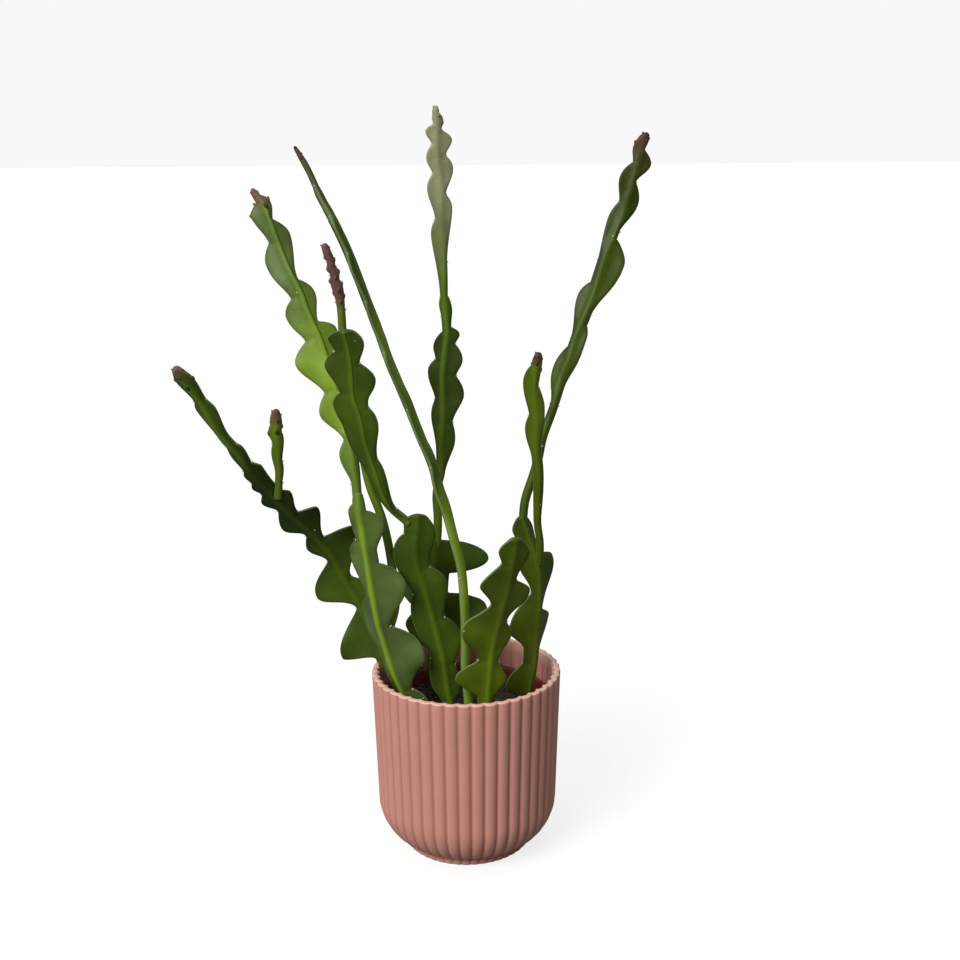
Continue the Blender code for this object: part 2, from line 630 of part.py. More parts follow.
def stem_right_back():
    """A dark blade on the right that carries a tall stem at its tip and a shorter one on its side."""
    lower = blade(
        "lower",
        route=(
            RIGHT_BACK_BASE, (25, -4, 65), (27, -3, 76), (28, -2, 88), (29, -1, 101), (29, 0, 110),
            (28, 0, 118), (25, 1, 126), (22, 2, 135.5),
        ),
        left=(
            *ROOTED, (9, 10), (19, 4.8), (25, 5), (33, 12.1), (48, 3.6), (60, 7.5), (66, 3.6), (75, 5.4),
            (80.5, 1.6),
        ),
        right=(
            *ROOTED, (14, 2), (24, 1.8), (38, 7.6), (41.5, 1.8), (60.5, 10.4), (63.5, 3), (74, 4.4),
            (80.5, 1.6),
        ),
        turn=((0, 12), (79, 15)),
        fold_right=((0, 40),),
        lobes=POINTED_LOBES,
    )
    tall = blade(
        "tall",
        route=(
            (22.5, 2, 131), (23.5, 4, 141.5), (26, 5.5, 148.5), (28.5, 7.5, 156.5), (30, 8, 164.5),
            (33, 10.5, 172), (35.5, 11.5, 179), (37.5, 14, 187), (40.5, 15, 193.5), (44, 18, 203.5),
            (48, 20, 212.5), (52.5, 23, 223.5), (55.5, 25, 233), (60, 28, 243), (63, 30, 251),
            (65.5, 31.5, 259.5), (68, 33.5, 268), (70, 35, 274), (71.5, 36, 279.5),
        ),
        left=(
            (0, 1.7), (49, 1.6), (64.5, 4.7), (72.5, 2.2), (76, 2), (93, 5.9), (99, 3), (108, 2.8),
            (125, 5.1), (132, 3.1), (141, 5.5), (148, 2.1), (154, 3.8), (161, 0.7),
        ),
        right=(
            (0, 1.7), (25, 2), (49, 1.9), (77, 4.4), (82.5, 2.4), (87, 2.2), (108.5, 7.9), (118, 1.3),
            (121, 1.1), (133.5, 4.5), (141, 1.3), (149.5, 5.3), (154, 1), (158, 1.6), (161, 0.7),
        ),
        turn=((0, -10), (80.5, -20), (161, 15)),
    )
    short = blade(
        "short",
        route=(
            (29, 0, 116), (29, -3.5, 127), (28, -4.5, 133), (28, -7, 143.5), (28, -10.5, 155.5),
            (27, -13, 167), (27, -15, 175), (26.5, -16.5, 183), (26.5, -19, 191.5), (26.5, -20, 197.5),
            (27.5, -21, 202.5),
        ),
        left=(
            (0, 1.5), (18, 1.5), (36, 2), (47.5, 2.2), (59, 4.4), (64.5, 2.7), (77, 5), (84, 1.9),
            (90, 0.7),
        ),
        right=((0, 1.5), (18, 1.5), (36, 2), (52, 1.9), (68, 3.4), (76, 1), (84.5, 2.1), (90, 0.7)),
        turn=((0, 0), (90, -25)),
    )
    return stem("stem_right_back", RIGHT_BACK_BASE, [lower, tall, short], OLD_GREEN)


STEM_BASES = (
    LEFT_ARCHING_BASE,
    LEFT_FRONT_BASE,
    CENTRE_BASE,
    CENTRE_BACK_BASE,
    EDGE_ON_BASE,
    RIGHT_FRONT_BASE,
    RIGHT_BACK_BASE,
)

cover_pot()
nursery_pot()
potting_soil([base[:2] for base in STEM_BASES])
stem_left_arching()
stem_left_front()
stem_centre()
stem_centre_back()
stem_edge_on()
stem_right_front()
stem_right_back()
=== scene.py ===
"""A fishbone cactus in a dark red nursery pot, set in a ribbed pink cover pot.

Sizes are in millimetres and become metres as each mesh is placed. +Z is up, the origin is the
middle of the pot's foot, and the side that is looked at faces -Y.
"""

import math

import bmesh
import bpy
import numpy as np
from mathutils import Matrix, Vector, noise


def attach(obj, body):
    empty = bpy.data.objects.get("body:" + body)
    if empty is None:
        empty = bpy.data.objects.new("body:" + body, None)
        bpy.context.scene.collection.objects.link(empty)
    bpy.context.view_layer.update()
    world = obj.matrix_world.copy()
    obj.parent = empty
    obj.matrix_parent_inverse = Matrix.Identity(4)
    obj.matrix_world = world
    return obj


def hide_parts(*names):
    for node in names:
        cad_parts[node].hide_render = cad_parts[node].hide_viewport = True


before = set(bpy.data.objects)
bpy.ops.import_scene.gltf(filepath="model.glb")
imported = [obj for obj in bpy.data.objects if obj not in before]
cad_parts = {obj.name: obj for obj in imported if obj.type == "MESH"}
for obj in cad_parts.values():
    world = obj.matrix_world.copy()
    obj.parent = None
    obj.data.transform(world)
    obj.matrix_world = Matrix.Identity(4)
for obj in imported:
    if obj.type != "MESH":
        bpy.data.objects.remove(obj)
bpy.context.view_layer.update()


# Camera: a long lens a little above the plant's middle, which looks down at the pot's mouth

LENS = 48.75
SENSOR = 36.0
CAMERA_PLACE = Vector((0.006, -0.485, 0.271))
CAMERA_PITCH = 76.0
CAMERA_ROLL = -0.37

camera_data = bpy.data.cameras.new("camera")
camera_data.sensor_width = SENSOR
camera_data.lens = LENS
camera = bpy.data.objects.new("camera", camera_data)
camera.matrix_world = (
    Matrix.Translation(CAMERA_PLACE)
    @ Matrix.Rotation(math.radians(CAMERA_PITCH), 4, "X")
    @ Matrix.Rotation(math.radians(CAMERA_ROLL), 4, "Z")
)
bpy.context.scene.collection.objects.link(camera)
bpy.context.scene.camera = camera
bpy.context.scene.view_settings.view_transform = "Standard"


# Studio: a wide pale floor, a broad soft key light from the upper left, and a pale room round it,
# which is brightest on the left and above, and dim in front and on the right

FLOOR_SIDE = 80.0
FLOOR_PALE = (0.22, 0.22, 0.217)
FLOOR_GLOW = 0.80
KEY_STRENGTH = 2.75
KEY_SPREAD = 30.0
KEY_TURN = (50.0, 0.0, -37.0)
ROOM_WAY = (-0.6, 0.35, 0.72)
ROOM_SHADE = 0.10
ROOM_LIGHT = 0.62
ROOM_SEEN = 0.94

floor_shape = bmesh.new()
bmesh.ops.create_grid(floor_shape, x_segments=1, y_segments=1, size=FLOOR_SIDE / 2)
floor_mesh = bpy.data.meshes.new("floor")
floor_shape.to_mesh(floor_mesh)
floor_shape.free()
floor = bpy.data.objects.new("floor", floor_mesh)
bpy.context.scene.collection.objects.link(floor)
floor_paper = bpy.data.materials.new("floor_paper")
floor_paper.use_nodes = True
floor_tree = floor_paper.node_tree
floor_shader = floor_tree.nodes["Principled BSDF"]
floor_shader.inputs["Base Color"].default_value = (*FLOOR_PALE, 1)
floor_shader.inputs["Roughness"].default_value = 0.9
floor_shader.inputs["Specular IOR Level"].default_value = 0.0
floor_shader.inputs["Emission Color"].default_value = (1, 1, 1, 1)
# The paper glows a little, but only for the camera, so that it stays pale beside the dim room
floor_path = floor_tree.nodes.new("ShaderNodeLightPath")
floor_glow = floor_tree.nodes.new("ShaderNodeMath")
floor_glow.operation = "MULTIPLY"
floor_glow.inputs[1].default_value = FLOOR_GLOW
floor_tree.links.new(floor_path.outputs["Is Camera Ray"], floor_glow.inputs[0])
floor_tree.links.new(floor_glow.outputs["Value"], floor_shader.inputs["Emission Strength"])
floor_mesh.materials.append(floor_paper)

key_data = bpy.data.lights.new("key", "SUN")
key_data.energy = KEY_STRENGTH
key_data.angle = math.radians(KEY_SPREAD)
key = bpy.data.objects.new("key", key_data)
key.rotation_euler = [math.radians(turn) for turn in KEY_TURN]
bpy.context.scene.collection.objects.link(key)

room = bpy.data.worlds.new("room")
room.use_nodes = True
bpy.context.scene.world = room
room_tree = room.node_tree
room_light = room_tree.nodes["Background"]
room_light.inputs["Color"].default_value = (1, 1, 1, 1)
room_way = room_tree.nodes.new("ShaderNodeTexCoord")
room_side = room_tree.nodes.new("ShaderNodeVectorMath")
room_side.operation = "DOT_PRODUCT"
room_side.inputs[1].default_value = ROOM_WAY
room_range = room_tree.nodes.new("ShaderNodeMapRange")
room_range.inputs["From Min"].default_value = -0.7
room_range.inputs["From Max"].default_value = 0.7
room_range.inputs["To Min"].default_value = ROOM_SHADE
room_range.inputs["To Max"].default_value = ROOM_LIGHT
room_path = room_tree.nodes.new("ShaderNodeLightPath")
room_mix = room_tree.nodes.new("ShaderNodeMix")
room_mix.inputs["B"].default_value = ROOM_SEEN
room_tree.links.new(room_way.outputs["Generated"], room_side.inputs[0])
room_tree.links.new(room_side.outputs["Value"], room_range.inputs["Value"])
room_tree.links.new(room_path.outputs["Is Camera Ray"], room_mix.inputs["Factor"])
room_tree.links.new(room_range.outputs["Result"], room_mix.inputs["A"])
room_tree.links.new(room_mix.outputs["Result"], room_light.inputs["Strength"])


# Cover pot: thin pink pottery with a satin glaze, cast with upright round reeds that run from the
# scalloped rim, down round the lower curve, to the flat foot

MM = 0.001
RIM_RADIUS = 37.5
POT_HEIGHT = 73.0
SHOULDER_RADIUS = 35.9
LOWER_CURVE = 20.0
FOOT_RADIUS = 25.2
FOOT_HEIGHT = 1.2
FOOT_FLARE = 0.7
WALL = 2.2
POT_FLOOR = 3.0
POT_FLOOR_RADIUS = 18.0
REED_COUNT = 45
REED_DEPTH = 1.0
REED_STEPS = 12
REED_ROUNDNESS = 2.4
RIM_EDGE = 0.7
POT_PINK = (0.60, 0.270, 0.209)
# The darker groove colour below is painted shade for the reeds' grooves
POT_GROOVE_SHADE = (0.36, 0.135, 0.095)
POT_WORN = (0.78, 0.48, 0.39)


def lower_curve(radius, degrees):
    """A point of the pot's round underside, seen from the middle of its curve."""
    angle = math.radians(degrees)
    return SHOULDER_RADIUS - LOWER_CURVE + radius * math.cos(angle), LOWER_CURVE - radius * math.sin(angle)


def pot_profile():
    """(radius, height, share of the reeds' depth, wear) from the foot, over the rim, to the floor."""
    yield 0.0, 0.0, 0.0, 0.0
    yield FOOT_RADIUS - 2.5, 0.0, 0.0, 0.0
    yield FOOT_RADIUS - 0.4, 0.0, 0.3, 0.3
    yield FOOT_RADIUS, 0.3, 0.5, 0.5
    yield FOOT_RADIUS + FOOT_FLARE, FOOT_HEIGHT, 0.9, 0.2
    for degrees in range(62, 0, -4):
        reach, height = lower_curve(LOWER_CURVE, degrees)
        yield reach, height, 1.0, 0.0
    top = POT_HEIGHT - RIM_EDGE
    for share in np.linspace(0, 1, 12):
        radius = SHOULDER_RADIUS + share * (RIM_RADIUS - SHOULDER_RADIUS)
        yield radius, LOWER_CURVE + share * (top - LOWER_CURVE), 1.0, 0.0
    for degrees in (15, 35, 55, 75, 90):
        angle = math.radians(degrees)
        yield RIM_RADIUS - RIM_EDGE * (1 - math.cos(angle)), top + RIM_EDGE * math.sin(angle), 1.0, 1.0
    for degrees in (90, 75, 55, 35, 15, 0):
        angle = math.radians(degrees)
        inside = RIM_RADIUS - WALL + RIM_EDGE * (1 - math.cos(angle))
        yield inside, top + RIM_EDGE * math.sin(angle), 1.0, 1.0
    for share in np.linspace(1, 0, 12)[1:]:
        radius = SHOULDER_RADIUS - WALL + share * (RIM_RADIUS - SHOULDER_RADIUS)
        yield radius, LOWER_CURVE + share * (top - LOWER_CURVE), 1.0, 0.0
    for degrees in range(8, 67, 8):
        reach, height = lower_curve(LOWER_CURVE - WALL, degrees)
        yield reach, height, max(1 - degrees / 50, 0), 0.0
    yield POT_FLOOR_RADIUS, POT_FLOOR, 0.0, 0.0
    yield 0.0, POT_FLOOR, 0.0, 0.0


pot_shape = bmesh.new()
reed_share = pot_shape.verts.layers.float.new("reed_share")
groove = pot_shape.verts.layers.float.new("groove")
worn = pot_shape.verts.layers.float.new("worn")
profile = []
for radius, height, share, wear in pot_profile():
    corner = pot_shape.verts.new((radius * MM, 0, height * MM))
    corner[reed_share] = share
    corner[worn] = wear
    profile.append(corner)
outline = [pot_shape.edges.new(pair) for pair in zip(profile, profile[1:])]
bmesh.ops.spin(
    pot_shape,
    geom=profile + outline,
    cent=(0, 0, 0),
    axis=(0, 0, 1),
    dvec=(0, 0, 0),
    angle=2 * math.pi,
    steps=REED_COUNT * REED_STEPS,
    use_merge=True,
)
bmesh.ops.remove_doubles(pot_shape, verts=pot_shape.verts, dist=1e-6)
for corner in pot_shape.verts:
    angle = math.atan2(corner.co.y, corner.co.x)
    phase = (angle * REED_COUNT / (2 * math.pi) - 1 / 6) % 1
    depth = abs(2 * phase - 1) ** REED_ROUNDNESS
    corner[groove] = depth * corner[reed_share]
    radius = math.hypot(corner.co.x, corner.co.y)
    if radius > 1e-6:
        reach = 1 - REED_DEPTH * MM * corner[groove] / radius
        corner.co.x *= reach
        corner.co.y *= reach
bmesh.ops.recalc_face_normals(pot_shape, faces=pot_shape.faces)
pot_mesh = bpy.data.meshes.new("cover_pot_fine")
pot_shape.to_mesh(pot_mesh)
pot_shape.free()
pot_mesh.shade_smooth()
cover_pot = bpy.data.objects.new("cover_pot_fine", pot_mesh)
bpy.context.scene.collection.objects.link(cover_pot)

pot_glaze = bpy.data.materials.new("pot_glaze")
pot_glaze.use_nodes = True
tree = pot_glaze.node_tree
nodes, links = tree.nodes, tree.links
shader = nodes["Principled BSDF"]
coordinate = nodes.new("ShaderNodeTexCoord")
clouds = nodes.new("ShaderNodeTexNoise")
clouds.inputs["Scale"].default_value = 55
clouds.inputs["Detail"].default_value = 5
grains = nodes.new("ShaderNodeTexNoise")
grains.inputs["Scale"].default_value = 900
grains.inputs["Detail"].default_value = 3
# Painted shade in the reeds' grooves: the deeper the groove, the more the glaze is darkened towards the groove
# colour
groove_mark = nodes.new("ShaderNodeAttribute")
groove_mark.attribute_name = "groove"
groove_shade_range = nodes.new("ShaderNodeMapRange")
groove_shade_range.inputs["From Min"].default_value = 0.35
groove_shade_range.inputs["From Max"].default_value = 1.0
groove_shade_range.inputs["To Max"].default_value = 0.75
worn_mark = nodes.new("ShaderNodeAttribute")
worn_mark.attribute_name = "worn"
worn_share = nodes.new("ShaderNodeMath")
worn_share.operation = "MULTIPLY"
worn_share.inputs[1].default_value = 0.7
tint = nodes.new("ShaderNodeMix")
tint.data_type = "RGBA"
tint.inputs["A"].default_value = (*POT_PINK, 1)
tint.inputs["B"].default_value = (*[part * 0.86 for part in POT_PINK], 1)
groove_shaded = nodes.new("ShaderNodeMix")
groove_shaded.data_type = "RGBA"
groove_shaded.inputs["B"].default_value = (*POT_GROOVE_SHADE, 1)
at_rim = nodes.new("ShaderNodeMix")
at_rim.data_type = "RGBA"
at_rim.inputs["B"].default_value = (*POT_WORN, 1)
gloss = nodes.new("ShaderNodeMapRange")
gloss.inputs["To Min"].default_value = 0.42
gloss.inputs["To Max"].default_value = 0.58
bump = nodes.new("ShaderNodeBump")
bump.inputs["Strength"].default_value = 0.25
bump.inputs["Distance"].default_value = 0.00006
links.new(coordinate.outputs["Object"], clouds.inputs["Vector"])
links.new(coordinate.outputs["Object"], grains.inputs["Vector"])
links.new(clouds.outputs["Fac"], tint.inputs["Factor"])
links.new(groove_mark.outputs["Fac"], groove_shade_range.inputs["Value"])
links.new(groove_shade_range.outputs["Result"], groove_shaded.inputs["Factor"])
links.new(tint.outputs["Result"], groove_shaded.inputs["A"])
links.new(worn_mark.outputs["Fac"], worn_share.inputs[0])
links.new(worn_share.outputs["Value"], at_rim.inputs["Factor"])
links.new(groove_shaded.outputs["Result"], at_rim.inputs["A"])
links.new(at_rim.outputs["Result"], shader.inputs["Base Color"])
links.new(clouds.outputs["Fac"], gloss.inputs["Value"])
links.new(gloss.outputs["Result"], shader.inputs["Roughness"])
links.new(grains.outputs["Fac"], bump.inputs["Height"])
links.new(bump.outputs["Normal"], shader.inputs["Normal"])
pot_mesh.materials.append(pot_glaze)
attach(cover_pot, "root")
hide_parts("cover_pot")


# Nursery pot: the grower's own thin pot of dark red plastic, tapered, with a rolled lip and four
# drain holes, which stands loose in the cover pot

GROWER_RIM_RADIUS = 33.0
GROWER_RIM_HEIGHT = 62.0
GROWER_BASE_RADIUS = 21.0
GROWER_BASE_HEIGHT = 4.0
GROWER_WALL = 1.0
GROWER_LIP = 1.6
GROWER_LIP_PROUD = 0.5
DRAIN_RADIUS = 3.0
DRAIN_CIRCLE = 12.0
DRAIN_COUNT = 4
LIP_ROUNDING = 0.4
DARK_RED = (0.115, 0.010, 0.013)
DUSTY_RED = (0.20, 0.055, 0.05)


def grower_radius(height):
    """The outside of the nursery pot's tapered wall."""
    share = (height - GROWER_BASE_HEIGHT) / (GROWER_RIM_HEIGHT - GROWER_BASE_HEIGHT)
    return GROWER_BASE_RADIUS + share * (GROWER_RIM_RADIUS - GROWER_BASE_RADIUS)


lip_low = GROWER_RIM_HEIGHT - GROWER_LIP
lip_reach = GROWER_RIM_RADIUS + GROWER_LIP_PROUD
grower_floor = GROWER_BASE_HEIGHT + GROWER_WALL
grower_profile = [(0.0, GROWER_BASE_HEIGHT)]
grower_profile.append((GROWER_BASE_RADIUS - LIP_ROUNDING, GROWER_BASE_HEIGHT))
grower_profile.append((GROWER_BASE_RADIUS, GROWER_BASE_HEIGHT + LIP_ROUNDING))
for height in np.linspace(GROWER_BASE_HEIGHT + 2, lip_low, 12):
    grower_profile.append((grower_radius(height), height))
grower_profile.append((lip_reach - LIP_ROUNDING, lip_low))
grower_profile.append((lip_reach, lip_low + LIP_ROUNDING))
for degrees in (0, 30, 60, 90):
    angle = math.radians(degrees)
    around = lip_reach - LIP_ROUNDING * (1 - math.cos(angle))
    grower_profile.append((around, GROWER_RIM_HEIGHT - LIP_ROUNDING * (1 - math.sin(angle))))
grower_profile.append((GROWER_RIM_RADIUS - GROWER_WALL + LIP_ROUNDING, GROWER_RIM_HEIGHT))
grower_profile.append((GROWER_RIM_RADIUS - GROWER_WALL, GROWER_RIM_HEIGHT - LIP_ROUNDING))
for height in np.linspace(lip_low, grower_floor + 1, 10):
    grower_profile.append((grower_radius(height) - GROWER_WALL, height))
grower_profile.append((grower_radius(grower_floor) - GROWER_WALL - 1, grower_floor))
grower_profile.append((0.0, grower_floor))

grower_shape = bmesh.new()
corners = [grower_shape.verts.new((radius * MM, 0, height * MM)) for radius, height in grower_profile]
outline = [grower_shape.edges.new(pair) for pair in zip(corners, corners[1:])]
bmesh.ops.spin(
    grower_shape,
    geom=corners + outline,
    cent=(0, 0, 0),
    axis=(0, 0, 1),
    dvec=(0, 0, 0),
    angle=2 * math.pi,
    steps=144,
    use_merge=True,
)
bmesh.ops.remove_doubles(grower_shape, verts=grower_shape.verts, dist=1e-6)
bmesh.ops.recalc_face_normals(grower_shape, faces=grower_shape.faces)
grower_mesh = bpy.data.meshes.new("nursery_pot_fine")
grower_shape.to_mesh(grower_mesh)
grower_shape.free()
nursery_pot = bpy.data.objects.new("nursery_pot_fine", grower_mesh)
bpy.context.scene.collection.objects.link(nursery_pot)

drain_shape = bmesh.new()
for index in range(DRAIN_COUNT):
    angle = 2 * math.pi * (index + 0.5) / DRAIN_COUNT
    place = Vector((math.cos(angle), math.sin(angle), 0)) * DRAIN_CIRCLE * MM
    bmesh.ops.create_cone(
        drain_shape,
        cap_ends=True,
        segments=32,
        radius1=DRAIN_RADIUS * MM,
        radius2=DRAIN_RADIUS * MM,
        depth=4 * grower_floor * MM,
        matrix=Matrix.Translation(place),
    )
drain_mesh = bpy.data.meshes.new("drain_cutter")
drain_shape.to_mesh(drain_mesh)
drain_shape.free()
drain_cutter = bpy.data.objects.new("drain_cutter", drain_mesh)
bpy.context.scene.collection.objects.link(drain_cutter)
cut = nursery_pot.modifiers.new("drains", "BOOLEAN")
cut.operation = "DIFFERENCE"
cut.object = drain_cutter
cut_mesh = bpy.data.meshes.new_from_object(nursery_pot.evaluated_get(bpy.context.evaluated_depsgraph_get()))
nursery_pot.modifiers.clear()
nursery_pot.data = cut_mesh
bpy.data.objects.remove(drain_cutter)
cut_mesh.shade_smooth()
cut_mesh.set_sharp_from_angle(angle=math.radians(40))

grower_plastic = bpy.data.materials.new("grower_plastic")
grower_plastic.use_nodes = True
tree = grower_plastic.node_tree
nodes, links = tree.nodes, tree.links
shader = nodes["Principled BSDF"]
coordinate = nodes.new("ShaderNodeTexCoord")
dust = nodes.new("ShaderNodeTexNoise")
dust.inputs["Scale"].default_value = 260
dust.inputs["Detail"].default_value = 6
dust_range = nodes.new("ShaderNodeMapRange")
dust_range.inputs["From Min"].default_value = 0.55
dust_range.inputs["From Max"].default_value = 0.8
dusty = nodes.new("ShaderNodeMix")
dusty.data_type = "RGBA"
dusty.inputs["A"].default_value = (*DARK_RED, 1)
dusty.inputs["B"].default_value = (*DUSTY_RED, 1)
gloss = nodes.new("ShaderNodeMapRange")
gloss.inputs["To Min"].default_value = 0.34
gloss.inputs["To Max"].default_value = 0.7
bump = nodes.new("ShaderNodeBump")
bump.inputs["Strength"].default_value = 0.2
bump.inputs["Distance"].default_value = 0.00005
links.new(coordinate.outputs["Object"], dust.inputs["Vector"])
links.new(dust.outputs["Fac"], dust_range.inputs["Value"])
links.new(dust_range.outputs["Result"], dusty.inputs["Factor"])
links.new(dusty.outputs["Result"], shader.inputs["Base Color"])
links.new(dust_range.outputs["Result"], gloss.inputs["Value"])
links.new(gloss.outputs["Result"], shader.inputs["Roughness"])
links.new(dust.outputs["Fac"], bump.inputs["Height"])
links.new(bump.outputs["Normal"], shader.inputs["Normal"])
cut_mesh.materials.append(grower_plastic)
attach(nursery_pot, "root")
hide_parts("nursery_pot")


# Potting soil: dark damp peat that fills the nursery pot, lumpy on top, with loose crumbs and a few
# chips of bark

SOIL_HEIGHT = 56.2
SOIL_LUMP = 0.8
COARSE_LUMP_WIDTH = 7.0
FINE_LUMP_WIDTH = 3.0
GRAIN_WIDTH = 0.9
GRAIN = 0.22
SOIL_GAP = 0.3
SOIL_STEP = 0.45
CRUMB_COUNT = 900
CRUMB_SMALL = 0.35
CRUMB_LARGE = 1.25
CHIP_COUNT = 26
DARK_PEAT = (0.012, 0.007, 0.004)
LIGHT_PEAT = (0.055, 0.033, 0.018)
BARK = (0.10, 0.048, 0.022)


def soil_top(x, y):
    """The height of the soil's lumpy top."""
    coarse = noise.noise(Vector((x, y, 0)) / COARSE_LUMP_WIDTH)
    fine = noise.noise(Vector((x, y, 0)) / FINE_LUMP_WIDTH)
    return SOIL_HEIGHT + SOIL_LUMP * (coarse + fine / 2)


soil_reach = grower_radius(SOIL_HEIGHT - SOIL_LUMP) - GROWER_WALL - SOIL_GAP
soil_foot = grower_floor + SOIL_GAP
soil_shape = bmesh.new()
line = [soil_shape.verts.new((radius * MM, 0, SOIL_HEIGHT * MM)) for radius in np.arange(0, soil_reach, SOIL_STEP)]
edges = [soil_shape.edges.new(pair) for pair in zip(line, line[1:])]
bmesh.ops.spin(
    soil_shape,
    geom=line + edges,
    cent=(0, 0, 0),
    axis=(0, 0, 1),
    dvec=(0, 0, 0),
    angle=2 * math.pi,
    steps=240,
    use_merge=True,
)
bmesh.ops.remove_doubles(soil_shape, verts=soil_shape.verts, dist=1e-6)
for corner in soil_shape.verts:
    x, y = corner.co.x / MM, corner.co.y / MM
    grain = noise.noise(Vector((x, y, 3)) / GRAIN_WIDTH)
    corner.co.z = (soil_top(x, y) + GRAIN * grain) * MM
rim = [edge for edge in soil_shape.edges if edge.is_boundary]
made = bmesh.ops.extrude_edge_only(soil_shape, edges=rim)["geom"]
base = [item for item in made if isinstance(item, bmesh.types.BMVert)]
taper = (grower_radius(soil_foot) - GROWER_WALL - SOIL_GAP) / soil_reach
for corner in base:
    corner.co = (corner.co.x * taper, corner.co.y * taper, soil_foot * MM)
bmesh.ops.contextual_create(soil_shape, geom=[edge for edge in soil_shape.edges if edge.is_boundary])
bmesh.ops.recalc_face_normals(soil_shape, faces=soil_shape.faces)
soil_mesh = bpy.data.meshes.new("potting_soil_fine")
soil_shape.to_mesh(soil_mesh)
soil_shape.free()
soil_mesh.shade_smooth()
soil = bpy.data.objects.new("potting_soil_fine", soil_mesh)
bpy.context.scene.collection.objects.link(soil)

peat = bpy.data.materials.new("peat")
peat.use_nodes = True
tree = peat.node_tree
nodes, links = tree.nodes, tree.links
shader = nodes["Principled BSDF"]
coordinate = nodes.new("ShaderNodeTexCoord")
flecks = nodes.new("ShaderNodeTexNoise")
flecks.inputs["Scale"].default_value = 700
flecks.inputs["Detail"].default_value = 8
flecks_range = nodes.new("ShaderNodeMapRange")
flecks_range.inputs["From Min"].default_value = 0.42
flecks_range.inputs["From Max"].default_value = 0.72
soil_tint = nodes.new("ShaderNodeMix")
soil_tint.data_type = "RGBA"
soil_tint.inputs["A"].default_value = (*DARK_PEAT, 1)
soil_tint.inputs["B"].default_value = (*LIGHT_PEAT, 1)
damp = nodes.new("ShaderNodeMapRange")
damp.inputs["To Min"].default_value = 0.7
damp.inputs["To Max"].default_value = 0.98
bump = nodes.new("ShaderNodeBump")
bump.inputs["Strength"].default_value = 0.8
bump.inputs["Distance"].default_value = 0.0003
links.new(coordinate.outputs["Object"], flecks.inputs["Vector"])
links.new(flecks.outputs["Fac"], flecks_range.inputs["Value"])
links.new(flecks_range.outputs["Result"], soil_tint.inputs["Factor"])
links.new(soil_tint.outputs["Result"], shader.inputs["Base Color"])
links.new(flecks_range.outputs["Result"], damp.inputs["Value"])
links.new(damp.outputs["Result"], shader.inputs["Roughness"])
links.new(flecks.outputs["Fac"], bump.inputs["Height"])
links.new(bump.outputs["Normal"], shader.inputs["Normal"])
soil_mesh.materials.append(peat)
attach(soil, "root")
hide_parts("potting_soil")

# Loose crumbs of the soil, each a small lump of its own, and the chips of bark among them
dice = np.random.default_rng(7)
for name, count, smallest, largest, squash in (
    ("soil_crumbs", CRUMB_COUNT, CRUMB_SMALL, CRUMB_LARGE, (1, 0.8, 0.7)),
    ("bark_chips", CHIP_COUNT, 0.8, 1.5, (1.6, 0.7, 0.3)),
):
    all_crumbs = bmesh.new()
    crumb_mesh = bpy.data.meshes.new(name)
    for index in range(count):
        angle = dice.uniform(0, 2 * math.pi)
        distance = (soil_reach - 1.2) * math.sqrt(dice.uniform(0, 1))
        size = smallest + (largest - smallest) * dice.uniform(0, 1) ** 3
        x, y = distance * math.cos(angle), distance * math.sin(angle)
        place = Matrix.Translation(Vector((x, y, soil_top(x, y) + 0.25 * size)) * MM)
        turn = Matrix.Rotation(dice.uniform(0, 2 * math.pi), 4, "Z")
        tilt = Matrix.Rotation(dice.uniform(-0.6, 0.6), 4, "X")
        crumb = bmesh.new()
        bmesh.ops.create_icosphere(crumb, subdivisions=2, radius=1)
        for corner in crumb.verts:
            corner.co *= 1 + 0.55 * noise.noise(corner.co / 0.9 + Vector((index, 0, 0)))
        size_matrix = Matrix.Diagonal((*[size * MM * share for share in squash], 1))
        crumb.transform(place @ turn @ tilt @ size_matrix)
        crumb.to_mesh(crumb_mesh)
        crumb.free()
        all_crumbs.from_mesh(crumb_mesh)
    all_crumbs.to_mesh(crumb_mesh)
    all_crumbs.free()
    crumbs = bpy.data.objects.new(name, crumb_mesh)
    bpy.context.scene.collection.objects.link(crumbs)
    if name == "bark_chips":
        crumb_mesh.materials.append(peat.copy())
        crumb_mesh.materials[0].name = "bark"
        mix = crumb_mesh.materials[0].node_tree.nodes[soil_tint.name]
        mix.inputs["B"].default_value = (*BARK, 1)
    else:
        crumb_mesh.materials.append(peat)
    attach(crumbs, "root")


# Skin of the stems: a leathery green rind with a raised midrib, a darker band along the margins with a thin
# pale painted highlight on its edge, fine pores and pale flecks, and young growth that is yellow-green, then
# reddish; painted shade darkens the green where the fresh mark is below nought, and in a thin line by the
# midrib where the crease mark says

OLD_GREEN = (0.046, 0.080, 0.005)
OLIVE_GREEN = (0.066, 0.104, 0.003)
GREY_GREEN = (0.085, 0.128, 0.030)
FRESH_GREEN = (0.22, 0.355, 0.016)
# Colour of the thin painted highlight along the margins' edges
EDGE_HIGHLIGHT_GREEN = (0.20, 0.27, 0.12)
SCALE_BROWN = (0.16, 0.075, 0.065)
PALE_SCALE = (0.27, 0.265, 0.15)
DARK_SCALE = (0.075, 0.030, 0.022)
# Least share of the green that the painted shade leaves
SHADE_DARKEST = 0.3
PATCH_SCALE = 70
PORE_SCALE = 1500
FLECK_SCALE = 240
# Width of the painted highlight along the margins' edges
EDGE_HIGHLIGHT_WIDTH = 0.35
BAND_WIDTH = 2.2
RIB_WIDTH = 1.7
# Place and width of the thin line of painted shade beside the rib
CREASE_PLACE = 0.75
CREASE_WIDTH = 0.35

